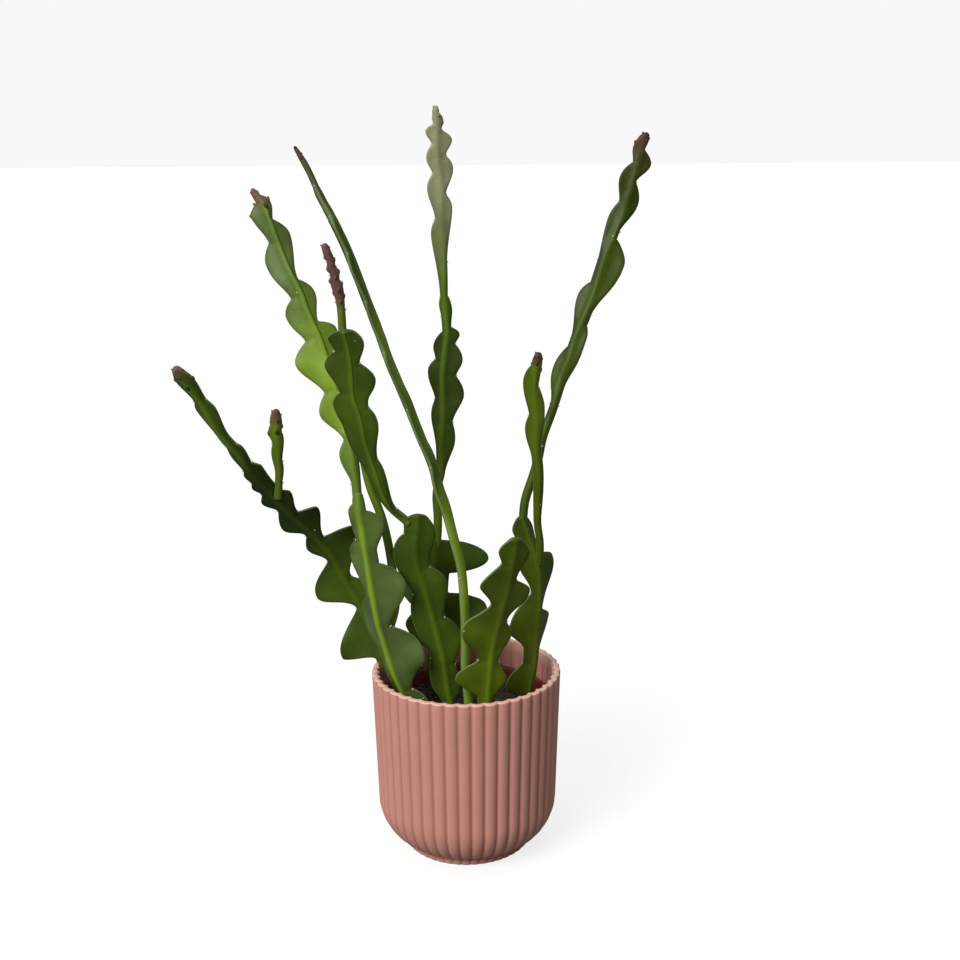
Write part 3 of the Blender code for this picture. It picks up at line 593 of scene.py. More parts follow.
rind = bpy.data.node_groups.new("rind", "ShaderNodeTree")
for socket in ("Green", "Fresh Green", "Tip"):
    rind.interface.new_socket(socket, in_out="INPUT", socket_type="NodeSocketColor")
rind.interface.new_socket("Color", in_out="OUTPUT", socket_type="NodeSocketColor")
rind.interface.new_socket("Roughness", in_out="OUTPUT", socket_type="NodeSocketFloat")
rind.interface.new_socket("Normal", in_out="OUTPUT", socket_type="NodeSocketVector")
nodes, links = rind.nodes, rind.links
group_in = nodes.new("NodeGroupInput")
group_out = nodes.new("NodeGroupOutput")
coordinate = nodes.new("ShaderNodeTexCoord")
marks = {}
for mark in ("fresh", "tip", "from_edge", "from_rib", "rib", "crease"):
    marks[mark] = nodes.new("ShaderNodeAttribute")
    marks[mark].attribute_name = mark
patches = nodes.new("ShaderNodeTexNoise")
patches.inputs["Scale"].default_value = PATCH_SCALE
patches.inputs["Detail"].default_value = 4
pores = nodes.new("ShaderNodeTexNoise")
pores.inputs["Scale"].default_value = PORE_SCALE
pores.inputs["Detail"].default_value = 4
flecks = nodes.new("ShaderNodeTexVoronoi")
flecks.inputs["Scale"].default_value = FLECK_SCALE
for texture in (patches, pores, flecks):
    links.new(coordinate.outputs["Object"], texture.inputs["Vector"])

# Green to fresh green along the stem; where the mark is below nought, painted shade darkens the green instead
ageing = nodes.new("ShaderNodeMix")
ageing.data_type = "RGBA"
links.new(marks["fresh"].outputs["Fac"], ageing.inputs["Factor"])
links.new(group_in.outputs["Green"], ageing.inputs["A"])
links.new(group_in.outputs["Fresh Green"], ageing.inputs["B"])
depth = nodes.new("ShaderNodeMapRange")
depth.inputs["From Min"].default_value = -1.0
depth.inputs["From Max"].default_value = 0.0
depth.inputs["To Min"].default_value = SHADE_DARKEST
shade_darkened = nodes.new("ShaderNodeVectorMath")
shade_darkened.operation = "SCALE"
links.new(marks["fresh"].outputs["Fac"], depth.inputs["Value"])
links.new(ageing.outputs["Result"], shade_darkened.inputs[0])
links.new(depth.outputs["Result"], shade_darkened.inputs["Scale"])
# Darker and lighter patches
shade = nodes.new("ShaderNodeMapRange")
shade.inputs["From Min"].default_value = 0.3
shade.inputs["From Max"].default_value = 0.7
shade.inputs["To Min"].default_value = 0.72
shade.inputs["To Max"].default_value = 1.25
patched = nodes.new("ShaderNodeVectorMath")
patched.operation = "SCALE"
links.new(patches.outputs["Fac"], shade.inputs["Value"])
links.new(shade_darkened.outputs["Vector"], patched.inputs[0])
links.new(shade.outputs["Result"], patched.inputs["Scale"])
# A paler midrib, as strong as its mark
rib_place = nodes.new("ShaderNodeMath")
rib_place.operation = "ABSOLUTE"
rib_share = nodes.new("ShaderNodeMapRange")
rib_share.interpolation_type = "SMOOTHSTEP"
rib_share.inputs["From Min"].default_value = RIB_WIDTH
rib_share.inputs["From Max"].default_value = 0.2
rib_strength = nodes.new("ShaderNodeMath")
rib_strength.operation = "MULTIPLY"
ribbed = nodes.new("ShaderNodeMix")
ribbed.data_type = "RGBA"
links.new(marks["from_rib"].outputs["Fac"], rib_place.inputs[0])
links.new(rib_place.outputs["Value"], rib_share.inputs["Value"])
links.new(rib_share.outputs["Result"], rib_strength.inputs[0])
links.new(marks["rib"].outputs["Fac"], rib_strength.inputs[1])
links.new(rib_strength.outputs["Value"], ribbed.inputs["Factor"])
links.new(patched.outputs["Vector"], ribbed.inputs["A"])
links.new(group_in.outputs["Fresh Green"], ribbed.inputs["B"])
# Painted shade: a thin dark line close by the rib's right side, where the crease mark says, as a crease's shadow
crease_off = nodes.new("ShaderNodeMath")
crease_off.operation = "SUBTRACT"
crease_off.inputs[1].default_value = CREASE_PLACE
crease_gap = nodes.new("ShaderNodeMath")
crease_gap.operation = "ABSOLUTE"
crease_share = nodes.new("ShaderNodeMapRange")
crease_share.inputs["From Min"].default_value = CREASE_WIDTH
crease_share.inputs["From Max"].default_value = 0.0
crease_strength = nodes.new("ShaderNodeMath")
crease_strength.operation = "MULTIPLY"
crease_shade_scale = nodes.new("ShaderNodeMath")
crease_shade_scale.operation = "SUBTRACT"
crease_shade_scale.inputs[0].default_value = 1.0
crease_shaded = nodes.new("ShaderNodeVectorMath")
crease_shaded.operation = "SCALE"
links.new(marks["from_rib"].outputs["Fac"], crease_off.inputs[0])
links.new(crease_off.outputs["Value"], crease_gap.inputs[0])
links.new(crease_gap.outputs["Value"], crease_share.inputs["Value"])
links.new(crease_share.outputs["Result"], crease_strength.inputs[0])
links.new(marks["crease"].outputs["Fac"], crease_strength.inputs[1])
links.new(crease_strength.outputs["Value"], crease_shade_scale.inputs[1])
links.new(ribbed.outputs["Result"], crease_shaded.inputs[0])
links.new(crease_shade_scale.outputs["Value"], crease_shaded.inputs["Scale"])
# A darker band along the margin, with a thin pale painted highlight on its very edge
band = nodes.new("ShaderNodeMapRange")
band.inputs["From Max"].default_value = BAND_WIDTH
band.inputs["To Min"].default_value = 0.74
banded = nodes.new("ShaderNodeVectorMath")
banded.operation = "SCALE"
links.new(marks["from_edge"].outputs["Fac"], band.inputs["Value"])
links.new(crease_shaded.outputs["Vector"], banded.inputs[0])
links.new(band.outputs["Result"], banded.inputs["Scale"])
edge_highlight_share = nodes.new("ShaderNodeMapRange")
edge_highlight_share.inputs["From Min"].default_value = EDGE_HIGHLIGHT_WIDTH
edge_highlight_share.inputs["From Max"].default_value = 0.0
edge_highlight_share.inputs["To Max"].default_value = 0.55
edge_highlighted = nodes.new("ShaderNodeMix")
edge_highlighted.data_type = "RGBA"
edge_highlighted.inputs["B"].default_value = (*EDGE_HIGHLIGHT_GREEN, 1)
links.new(marks["from_edge"].outputs["Fac"], edge_highlight_share.inputs["Value"])
links.new(edge_highlight_share.outputs["Result"], edge_highlighted.inputs["Factor"])
links.new(banded.outputs["Vector"], edge_highlighted.inputs["A"])
# A few pale flecks of lime and dust, in some cells of a fine pattern
fleck_round = nodes.new("ShaderNodeMapRange")
fleck_round.inputs["From Min"].default_value = 0.09
fleck_round.inputs["From Max"].default_value = 0.05
fleck_chance = nodes.new("ShaderNodeSeparateColor")
fleck_some = nodes.new("ShaderNodeMath")
fleck_some.operation = "GREATER_THAN"
fleck_some.inputs[1].default_value = 0.86
fleck_share = nodes.new("ShaderNodeMath")
fleck_share.operation = "MULTIPLY"
flecked = nodes.new("ShaderNodeMix")
flecked.data_type = "RGBA"
flecked.inputs["B"].default_value = (0.42, 0.46, 0.36, 1)
links.new(flecks.outputs["Distance"], fleck_round.inputs["Value"])
links.new(flecks.outputs["Color"], fleck_chance.inputs["Color"])
links.new(fleck_chance.outputs["Red"], fleck_some.inputs[0])
links.new(fleck_round.outputs["Result"], fleck_share.inputs[0])
links.new(fleck_some.outputs["Value"], fleck_share.inputs[1])
links.new(fleck_share.outputs["Value"], flecked.inputs["Factor"])
links.new(edge_highlighted.outputs["Result"], flecked.inputs["A"])
# The young tip
tip_shade = nodes.new("ShaderNodeVectorMath")
tip_shade.operation = "SCALE"
tipped = nodes.new("ShaderNodeMix")
tipped.data_type = "RGBA"
links.new(group_in.outputs["Tip"], tip_shade.inputs[0])
links.new(shade.outputs["Result"], tip_shade.inputs["Scale"])
links.new(marks["tip"].outputs["Fac"], tipped.inputs["Factor"])
links.new(flecked.outputs["Result"], tipped.inputs["A"])
links.new(tip_shade.outputs["Vector"], tipped.inputs["B"])
links.new(tipped.outputs["Result"], group_out.inputs["Color"])
# Satin, duller between the pores
satin = nodes.new("ShaderNodeMapRange")
satin.inputs["To Min"].default_value = 0.30
satin.inputs["To Max"].default_value = 0.55
links.new(pores.outputs["Fac"], satin.inputs["Value"])
links.new(satin.outputs["Result"], group_out.inputs["Roughness"])
relief = nodes.new("ShaderNodeBump")
relief.inputs["Strength"].default_value = 0.35
relief.inputs["Distance"].default_value = 0.00012
links.new(pores.outputs["Fac"], relief.inputs["Height"])
links.new(relief.outputs["Normal"], group_out.inputs["Normal"])

SHANK_RADIUS = 2.1
SHANK_DEPTH = 10.0
SHANK_RISE = 3.0
BLADE_THICKNESS = 1.2
RIDGE_THICKNESS = 3.2
RIDGE_WIDTH = 1.5
STALK_REACH = 2.0
BLADE_REACH = 4.5
ROW_STEP = 0.5
TIP_ROUNDING = 1.0
SCALE_SIZE = 1.0
SCALE_STEP = 1.5
VEIN_DEPTH = 0.22
VEIN_WIDTH = 1.4
SMOOTHING = 3.0
ROOTED = ((0, 1.8), (3, 1.8))
ROUND_LOBES = (1.7, 0.8)
SHOULDER_LOBES = (1.6, 0.75)
LONG_LOBES = (0.9, 0.45)
POINTED_LOBES = (2, 1.15)
FLAT = ((0, 0),)
FAINT = ((0, 0.12),)
RIND_MARKS = ("fresh", "tip", "from_edge", "from_rib", "rib", "crease")
areoles = []


def smooth_through(stations, values, places):
    """Values at the places asked for, on a smooth curve through those at the stations."""
    slopes = np.gradient(values, stations, axis=0)
    index = np.clip(np.searchsorted(stations, places, side="right") - 1, 0, len(stations) - 2)
    span = (stations[index + 1] - stations[index])[:, None]
    share = (places - stations[index])[:, None] / span
    start = values[index] * (1 + 2 * share) * (1 - share) ** 2
    start += slopes[index] * span * share * (1 - share) ** 2
    end = values[index + 1] * share ** 2 * (3 - 2 * share)
    end += slopes[index + 1] * span * share ** 2 * (share - 1)
    return start + end


def margin(outline, places, rise, fall):
    """The reach of a lobed margin: a rise to each lobe and a rounder fall to the notch above it."""
    reach = np.full(len(places), float(outline[-1][1]))
    for (low, low_reach), (high, high_reach) in zip(outline, outline[1:]):
        here = (places >= low) & (places < high)
        share = (places[here] - low) / (high - low)
        if high_reach >= low_reach:
            lift = np.sin(math.pi / 2 * share) ** rise
            reach[here] = low_reach + (high_reach - low_reach) * lift
        else:
            lift = np.cos(math.pi / 2 * share) ** fall
            reach[here] = high_reach + (low_reach - high_reach) * lift
    return reach


def notches(outline):
    """The stations at which a margin turns from a lobe to the next one."""
    found = []
    for (_, before), (place, reach), (_, after) in zip(outline, outline[1:], outline[2:]):
        if reach < before and reach < after:
            found.append(place)
    return found


def unit(vectors):
    return vectors / np.linalg.norm(vectors, axis=1)[:, None]


def rolled(shape, rings, marks):
    """A grid rolled round into a tube of rings, closed at its seam and at both ends."""
    count, around = rings.shape[:2]
    for name in marks:
        if name not in shape.verts.layers.float:
            shape.verts.layers.float.new(name)
    layers = {name: shape.verts.layers.float[name] for name in marks}
    made = bmesh.ops.create_grid(shape, x_segments=around, y_segments=count - 1, size=1)["verts"]
    seam = []
    for corner in made:
        column = round((corner.co.x + 1) / 2 * around)
        row = round((corner.co.y + 1) / 2 * (count - 1))
        corner.co = rings[row, column % around] * MM
        for name, values in marks.items():
            corner[layers[name]] = values[row, column % around]
        if column in (0, around) or row in (0, count - 1):
            seam.append(corner)
    bmesh.ops.remove_doubles(shape, verts=seam, dist=1e-7)


def blade(
    shape, route, left, right, turn=FLAT, fold_left=FLAT, fold_right=FLAT,
    thickness=RIDGE_THICKNESS, lobes=ROUND_LOBES, fresh=FLAT, tip=FLAT, rib=FAINT, crease=FLAT,
    scales=0, eyes=(), wave=0.6,
):
    """One blade along its midrib's route: its margins are (station, reach) pairs, its turns degrees."""
    route = np.array(route, float)
    stations = np.concatenate([[0], np.cumsum(np.linalg.norm(np.diff(route, axis=0), axis=1))])
    length = stations[-1]
    wanted = [place for place, reach in left + right if 0 < place < length]
    even = [place for place in np.arange(0, length, ROW_STEP) if min(abs(place - other) for other in wanted) > 0.2]
    end = length - TIP_ROUNDING * (1 - np.sin(np.radians((30, 55, 75, 90))))
    places = np.unique(np.concatenate([even, wanted, end]))
    soften = np.minimum(SMOOTHING, np.minimum(places, length - places))
    middle = smooth_through(stations, route, places - soften)
    middle = middle + 2 * smooth_through(stations, route, places)
    middle = (middle + smooth_through(stations, route, places + soften)) / 4
    tangent = unit(np.gradient(middle, places, axis=0))
    angle = np.radians(np.interp(places, *zip(*turn)))
    side = np.stack([np.cos(angle), np.sin(angle), np.zeros(len(places))], axis=1)
    side = unit(side - (side * tangent).sum(axis=1)[:, None] * tangent)
    front = np.cross(side, tangent)
    reaches = [margin(left, places, *lobes)[:, None], margin(right, places, *lobes)[:, None]]
    ridge = np.minimum(thickness, 2 * np.maximum(*reaches)) / 2
    closing = np.clip((places - (length - TIP_ROUNDING)) / TIP_ROUNDING, 0, 1)[:, None]
    closing = np.sqrt(1 - closing ** 2)

    across = np.array([0.09, 0.2, 0.34, 0.5, 0.67, 0.84, 1.0])
    bead = np.radians([30, 60, 90])
    steps = len(across) + len(bead)
    round_off = np.radians(90) * np.arange(1, steps + 1) / steps
    wings = []
    for way_out, outline, fold, reach, phase in (
        (-1, left, fold_left, reaches[0], 0.0),
        (1, right, fold_right, reaches[1], 2.1),
    ):
        bend = np.radians(np.interp(places, *zip(*fold)))[:, None]
        wing = way_out * side * np.cos(bend) - front * np.sin(bend)
        skin = front * np.cos(bend) + way_out * side * np.sin(bend)
        stalky = np.clip((BLADE_REACH - reach) / (BLADE_REACH - STALK_REACH), 0, 1)
        edge = BLADE_THICKNESS + stalky * (thickness / 2 - BLADE_THICKNESS)
        edge = np.minimum(edge, reach) / 2
        flat = np.concatenate([across * (reach - edge), reach - edge + edge * np.sin(bead)], axis=1)
        ridge_share = 0.35 * (1 - flat / reach) + 0.65 * np.exp(-(flat / RIDGE_WIDTH) ** 2)
        half = edge + (ridge - edge) * ridge_share
        half[:, len(across):] = edge * np.cos(bead)
        vein = np.zeros(len(places))
        for place in notches(outline):
            vein += np.exp(-((places - place) / VEIN_WIDTH) ** 2)
        valley = VEIN_DEPTH * np.clip(vein, 0, 1)[:, None] * np.sin(math.pi * np.clip(flat / reach, 0, 1))
        half = half - valley * (1 - stalky)
        flat = flat + stalky * (reach * np.sin(round_off) - flat)
        half = half + stalky * (ridge * np.cos(round_off) - half)
        sway = np.sin(places / 4.3 + phase) + 0.6 * np.sin(places / 2.7 + 2 * phase + 1)
        lift = wave * sway[:, None] * np.clip(flat / 9, 0, 1.4) ** 2
        bent = np.clip(flat / 2.5, 0, 1)[:, :, None]
        out = front[:, None, :] * (1 - bent) + skin[:, None, :] * bent
        base = wing[:, None, :] * (flat * closing)[:, :, None] + out * lift[:, :, None]
        swell = out * (half * closing)[:, :, None]
        wings.append((base + swell, base - swell, reach - flat, way_out * flat))
        for place in notches(outline):
            row = int(np.argmin(abs(places - place)))
            areoles.append((middle[row] + wing[row] * reach[row], wing[row], tangent[row]))
    (left_front, left_back, left_edge, left_rib), (right_front, right_back, right_edge, right_rib) = wings
    crest = (front * ridge * closing)[:, None, :]
    zero = np.zeros((len(places), 1))
    rings = np.concatenate(
        [left_front[:, ::-1], crest, right_front, right_back[:, -2::-1], -crest, left_back[:, :-1]], axis=1
    ) + middle[:, None, :]
    widest = np.maximum(*reaches)
    from_edge = np.concatenate(
        [left_edge[:, ::-1], widest, right_edge, right_edge[:, -2::-1], widest, left_edge[:, :-1]], axis=1
    )
    from_rib = np.concatenate(
        [left_rib[:, ::-1], zero, right_rib, right_rib[:, -2::-1], zero, left_rib[:, :-1]], axis=1
    )
    around = np.ones(rings.shape[1])
    rolled(shape, rings, {
        "from_edge": from_edge,
        "from_rib": from_rib,
        "fresh": np.outer(np.interp(places, *zip(*fresh)), around),
        "tip": np.outer(np.interp(places, *zip(*tip)), around),
        "rib": np.outer(np.interp(places, *zip(*rib)), around),
        "crease": np.outer(np.interp(places, *zip(*crease)), around),
    })

    # The young scales that crowd the tip, one above the other on its two sides and its face
    tip_layer = shape.verts.layers.float["tip"]
    edge_layer = shape.verts.layers.float["from_edge"]
    for index in range(scales):
        place = length - 0.9 - SCALE_STEP * index
        row = int(np.argmin(abs(places - place)))
        toward = (-1, 1, 0.25)[index % 3]
        reach = reaches[0 if toward < 0 else 1][row, 0]
        out = Vector(side[row] * toward + front[row] * (1 - abs(toward))).normalized()
        up = Vector(tangent[row])
        size = SCALE_SIZE * (0.62 + 0.10 * min(index, 5))
        way = (up + 0.45 * out).normalized()
        turn = Vector((0, 0, 1)).rotation_difference(way).to_matrix().to_4x4()
        centre_of_scale = Vector(middle[row]) + out * max(reach - 0.35 * size, 0.3)
        stretch = Matrix.Diagonal((0.62 * size, 0.62 * size, 1.25 * size, 1))
        made = bmesh.ops.create_icosphere(
            shape,
            subdivisions=2,
            radius=MM,
            matrix=Matrix.Translation(centre_of_scale * MM) @ turn @ stretch,
        )["verts"]
        for corner in made:
            corner[tip_layer] = float(np.interp(place, *zip(*tip)))
            corner[edge_layer] = BAND_WIDTH * 0.6
    for place, across in eyes:
        row = int(np.argmin(abs(places - place)))
        reach = reaches[0 if across < 0 else 1][row, 0]
        lift = ridge[row, 0] * max(1 - abs(across), 0.3)
        areoles.append((middle[row] + side[row] * across * reach + front[row] * lift, front[row], tangent[row]))


def shank(shape, base):
    """The round foot of a stem, which goes down into the soil."""
    x, y, z = base
    angle = np.radians(np.arange(0, 360, 15))
    ring = np.stack([x + SHANK_RADIUS * np.cos(angle), y + SHANK_RADIUS * np.sin(angle)], axis=1)
    rings = []
    for height in np.linspace(z - SHANK_DEPTH, z + SHANK_RISE, 14):
        rings.append(np.column_stack([ring, np.full(len(ring), height)]))
    rings = np.array(rings)
    still = np.zeros(rings.shape[:2])
    rolled(shape, rings, dict.fromkeys(RIND_MARKS, still))


def stem(name, shape, green, tip):
    """Makes a stem's mesh its own piece, in its own colour, in place of its plain solid."""
    bmesh.ops.holes_fill(shape, edges=[edge for edge in shape.edges if edge.is_boundary])
    bmesh.ops.recalc_face_normals(shape, faces=shape.faces)
    mesh = bpy.data.meshes.new(name + "_fine")
    shape.to_mesh(mesh)
    shape.free()
    mesh.shade_smooth()
    piece = bpy.data.objects.new(name + "_fine", mesh)
    bpy.context.scene.collection.objects.link(piece)
    skin = bpy.data.materials.new(name + "_skin")
    skin.use_nodes = True
    shader = skin.node_tree.nodes["Principled BSDF"]
    shader.inputs["Specular IOR Level"].default_value = 0.16
    shader.inputs["Subsurface Weight"].default_value = 0.08
    shader.inputs["Subsurface Radius"].default_value = (0.3, 1.0, 0.1)
    shader.inputs["Subsurface Scale"].default_value = 0.001
    finish = skin.node_tree.nodes.new("ShaderNodeGroup")
    finish.node_tree = rind
    finish.inputs["Green"].default_value = (*green, 1)
    finish.inputs["Fresh Green"].default_value = (*FRESH_GREEN, 1)
    finish.inputs["Tip"].default_value = (*tip, 1)
    skin.node_tree.links.new(finish.outputs["Color"], shader.inputs["Base Color"])
    skin.node_tree.links.new(finish.outputs["Roughness"], shader.inputs["Roughness"])
    skin.node_tree.links.new(finish.outputs["Normal"], shader.inputs["Normal"])
    mesh.materials.append(skin)
    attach(piece, "root")
    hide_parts(name)
    return piece


# Left arching stem: a long old blade that leans far out over the rim to the left, narrow and olive
# towards its tip, with a short young shoot from a notch on its back

LEFT_ARCHING_BASE = (-24.5, -1, 57)
left_arching = bmesh.new()
shank(left_arching, LEFT_ARCHING_BASE)
blade(
    left_arching,
    route=(
        LEFT_ARCHING_BASE, (-28.5, 0, 68), (-34, 3.5, 79), (-39, 6, 89), (-44, 8, 100), (-49, 8, 109),
        (-53, 7, 118), (-58, 5.5, 125), (-64, 3, 132.5), (-69.5, -0.5, 139.5), (-74.5, -3, 147),
        (-80, -7, 154.5), (-84.5, -11, 164), (-90, -15, 172), (-94, -20, 183.5), (-98.5, -24, 192.5),
        (-102.5, -27, 199),
    ),
    left=(
        *ROOTED, (16, 2), (22.5, 3.5), (28.5, 15.5), (44, 1.6), (56, 13.2), (67, 2.5), (76, 6),
        (81.5, 2.3), (89.5, 7.2), (97, 3), (103, 6), (106.5, 3.5), (110.5, 4.8), (113, 3.1), (116.5, 3.5),
        (119, 2.3), (126.5, 3.3), (132, 1.9), (138, 1.4), (150.5, 3.9), (154, 2.6), (163.5, 4),
        (170.5, 0.8),
    ),
    right=(
        *ROOTED, (16, 6.5), (23, 3), (47, 9.5), (57, 3.2), (73.5, 14.1), (76.5, 2.9), (88.5, 9.6),
        (92, 3), (101.5, 6.3), (104, 4), (118, 5.2), (121.5, 2.7), (129, 3.5), (131, 2.6), (148.5, 3.8),
        (153.5, 2.4), (163, 3.7), (170.5, 0.8),
    ),
    turn=((0, -12), (80, 10), (170, -15)),
    lobes=POINTED_LOBES,
    # Fresh marks below nought here are painted shade
    fresh=((0, 0), (62, 0.05), (78, -0.75), (118, -0.85), (132, 0.12), (150, 0.12), (170, 0.1)),
    tip=((0, 0), (163, 0), (168, 0.5), (171, 0.9)),
    rib=((0, 0.12), (118, 0.05), (132, 0.35), (160, 0.3)),
    scales=6,
)
blade(
    left_arching,
    route=(
        (-71.5, -3, 144), (-70, -5.5, 155.5), (-70, -8, 164.5), (-70, -10, 171.5),
        (-69.5, -10.5, 176.5), (-69.5, -11, 180.5),
    ),
    left=((0, 1.6), (11, 1.7), (19, 2.6), (23.5, 1.7), (28.5, 3), (31.5, 2.1), (33, 2.4), (38, 0.7)),
    right=((0, 1.6), (7, 1.3), (13, 1.7), (16, 1.4), (26, 2.8), (29, 1.9), (31, 2.3), (38, 0.7)),
    thickness=2.6,
    fresh=((0, 0.25), (30, 0.35)),
    tip=((0, 0), (31, 0), (34, 0.8), (38, 1)),
    scales=7,
)
stem("stem_left_arching", left_arching, OLD_GREEN, SCALE_BROWN)


# Left front stem: a dusty grey-green blade in front, its left wing folded back, which carries a tall
# fresh green blade at its tip and a thin pale stalk that ends in a reddish shoot

LEFT_FRONT_BASE = (-23, -9.5, 57)
left_front = bmesh.new()
shank(left_front, LEFT_FRONT_BASE)
blade(
    left_front,
    route=(
        LEFT_FRONT_BASE, (-25.5, -11, 69), (-28, -12, 75), (-30, -13, 83), (-32, -14, 91),
        (-34, -15, 100), (-35, -15, 106), (-36, -15, 113), (-37, -15, 122), (-38, -15, 129),
        (-39, -14, 136), (-40, -14, 143), (-40, -13, 149),
    ),
    left=(
        *ROOTED, (14, 8), (24, 3), (45.5, 10), (53, 3.2), (69, 9), (76, 3), (87, 3.8), (90, 2), (94, 1.6),
    ),
    right=(
        *ROOTED, (5, 9.5), (11, 4.5), (26, 14.8), (40, 4.4), (56.5, 13.8), (66, 4.6), (71, 4.6),
        (81, 8.9), (87, 3), (94, 1.8),
    ),
    turn=((0, -10), (94, 5)),
    fold_left=((0, 50), (70, 46), (84, 0)),
    lobes=SHOULDER_LOBES,
    # The fresh mark below nought near the foot is painted shade
    fresh=((0, -0.1), (50, 0), (80, 0.1), (94, 0.2)),
    rib=((0, 0.95), (80, 0.8), (94, 0.4)),
)
blade(
    left_front,
    route=(
        (-40, -13, 146), (-42, -10, 163), (-44, -6, 175), (-48, -3, 187.5), (-51.5, 1, 198.5),
        (-54.5, 3.5, 206.5), (-58, 5.5, 214), (-61, 8, 222), (-65.5, 11, 230), (-69, 14.5, 238),
        (-72.5, 17, 247.5), (-75.5, 19.5, 254.5), (-80, 21, 259.5),
    ),
    left=(
        (0, 1.8), (6, 1.6), (17, 4.7), (22.5, 2.3), (35, 9), (42, 4.8), (56, 12.1), (63.5, 5.7), (75, 9),
        (80.5, 4.7), (97, 7.9), (104, 3.8), (117, 7), (121.5, 2.4), (127, 0.8),
    ),
    right=(
        (0, 1.8), (14, 2.4), (30.5, 8), (34, 4), (49.5, 10.5), (52.5, 4), (65, 8.5), (69, 2.1),
        (80.5, 5.2), (86.5, 1.3), (105, 5.3), (112, 0.9), (119, 2.7), (122.5, 1), (127, 0.8),
    ),
    turn=((0, 10), (126.5, -15)),
    fold_right=((0, 0), (50.5, 35)),
    fresh=((0, 0.1), (15, 0.3), (30, 0.7), (58, 0.75), (75, 0.3), (95, 0.05), (122, 0.05)),
    tip=((0, 0), (116, 0), (121, 0.7), (127, 1)),
    rib=((0, 0.3), (127, 0.25)),
    # The crease mark puts a thin line of painted shade beside the rib
    crease=((0, 0), (30, 0.5), (60, 0.8), (115, 0.75)),
    scales=7,
)
blade(
    left_front,
    route=(
        (-30, -13, 92), (-27, -8, 102), (-28, -5, 114), (-29.5, -4.5, 126), (-32, -7.5, 139),
        (-35.5, -9.5, 150), (-38, -12, 165), (-41, -13, 180), (-43, -14, 195.5), (-43.5, -15, 208.5),
        (-43.5, -16.5, 217.5), (-44.5, -17.5, 225.5), (-46, -19, 233.5), (-48.5, -20, 241.5),
    ),
    left=(
        (0, 1.7), (100, 1.6), (133, 1.5), (140.5, 2.2), (143, 1.5), (145.5, 2), (148, 1.3), (150, 1.7),
        (156, 0.7),
    ),
    right=(
        (0, 1.7), (100, 1.6), (130, 1.5), (138, 2.1), (140.5, 1.4), (144, 1.9), (146, 1.2), (148, 1.6),
        (156, 0.7),
    ),
    fresh=((0, 0.65), (130, 0.5)),
    tip=((0, 0), (130, 0), (134, 0.9), (156, 1)),
    scales=15,
)
stem("stem_left_front", left_front, GREY_GREEN, SCALE_BROWN)


# Centre stem: a broad dark blade that stands in the middle, with a second dark blade that leans
# left from its round head

CENTRE_BASE = (-6, -8, 57)
centre = bmesh.new()
shank(centre, CENTRE_BASE)
blade(
    centre,
    route=(
        CENTRE_BASE, (-8, -8, 70), (-9, -8, 79), (-11, -8, 88), (-13, -8, 97), (-15, -8, 105),
        (-17, -8, 113), (-19, -8, 121), (-19, -8, 128), (-18, -8, 135), (-18, -8, 139),
    ),
    left=(
        *ROOTED, (16, 6), (25, 4.4), (42, 7.6), (52, 4.6), (68.5, 8.4), (75, 4.8), (80, 5.2),
        (84, 1.2),
    ),
    right=(
        *ROOTED, (12, 6), (20, 4.5), (31, 9.6), (39.5, 4.8), (53.5, 9.3), (60.5, 4.4), (75, 7.6),
        (84, 1.2),
    ),
    turn=((0, 18), (84, 8)),
    lobes=SHOULDER_LOBES,
    fresh=((0, 0.02), (84, 0.02)),
    rib=((0, 0.30), (40, 0.22), (65, 0.05)),
)
blade(
    centre,
    route=(
        (-21, -8, 135), (-24, -8, 138), (-27, -10, 141), (-30, -13, 148), (-32, -15, 155),
        (-34, -17, 163), (-36, -19.5, 171), (-37, -21.5, 179.5), (-39, -22, 185.5),
        (-39.5, -25.5, 199.5), (-40.5, -27, 208), (-41.5, -28, 212),
    ),
    left=(
        (0, 1.7), (9, 1.7), (21, 3.4), (56.5, 8.8), (60, 5.4), (70.5, 10.4), (76, 6), (81, 7.4), (85, 1),
    ),
    right=(
        (0, 1.7), (9, 1.5), (26.5, 3.3), (32, 2.2), (48, 6), (53, 4.2), (65.5, 8.5), (71.5, 3.2),
        (79, 6.2), (85, 1),
    ),
    turn=((0, -5), (85, -18)),
    fresh=((0, 0.12), (60, 0.05), (84, 0.0)),
    rib=((0, 0.25), (85, 0.2)),
    # The crease mark puts a thin line of painted shade beside the rib
    crease=((0, 0), (15, 0.7), (80, 0.7)),
)
stem("stem_centre", centre, OLD_GREEN, SCALE_BROWN)


# Centre back stem: an old blade with two long lobes to the right, which carries the tallest stem,
# a thin stalk, then narrow lobes that turn greyish and brown at the top

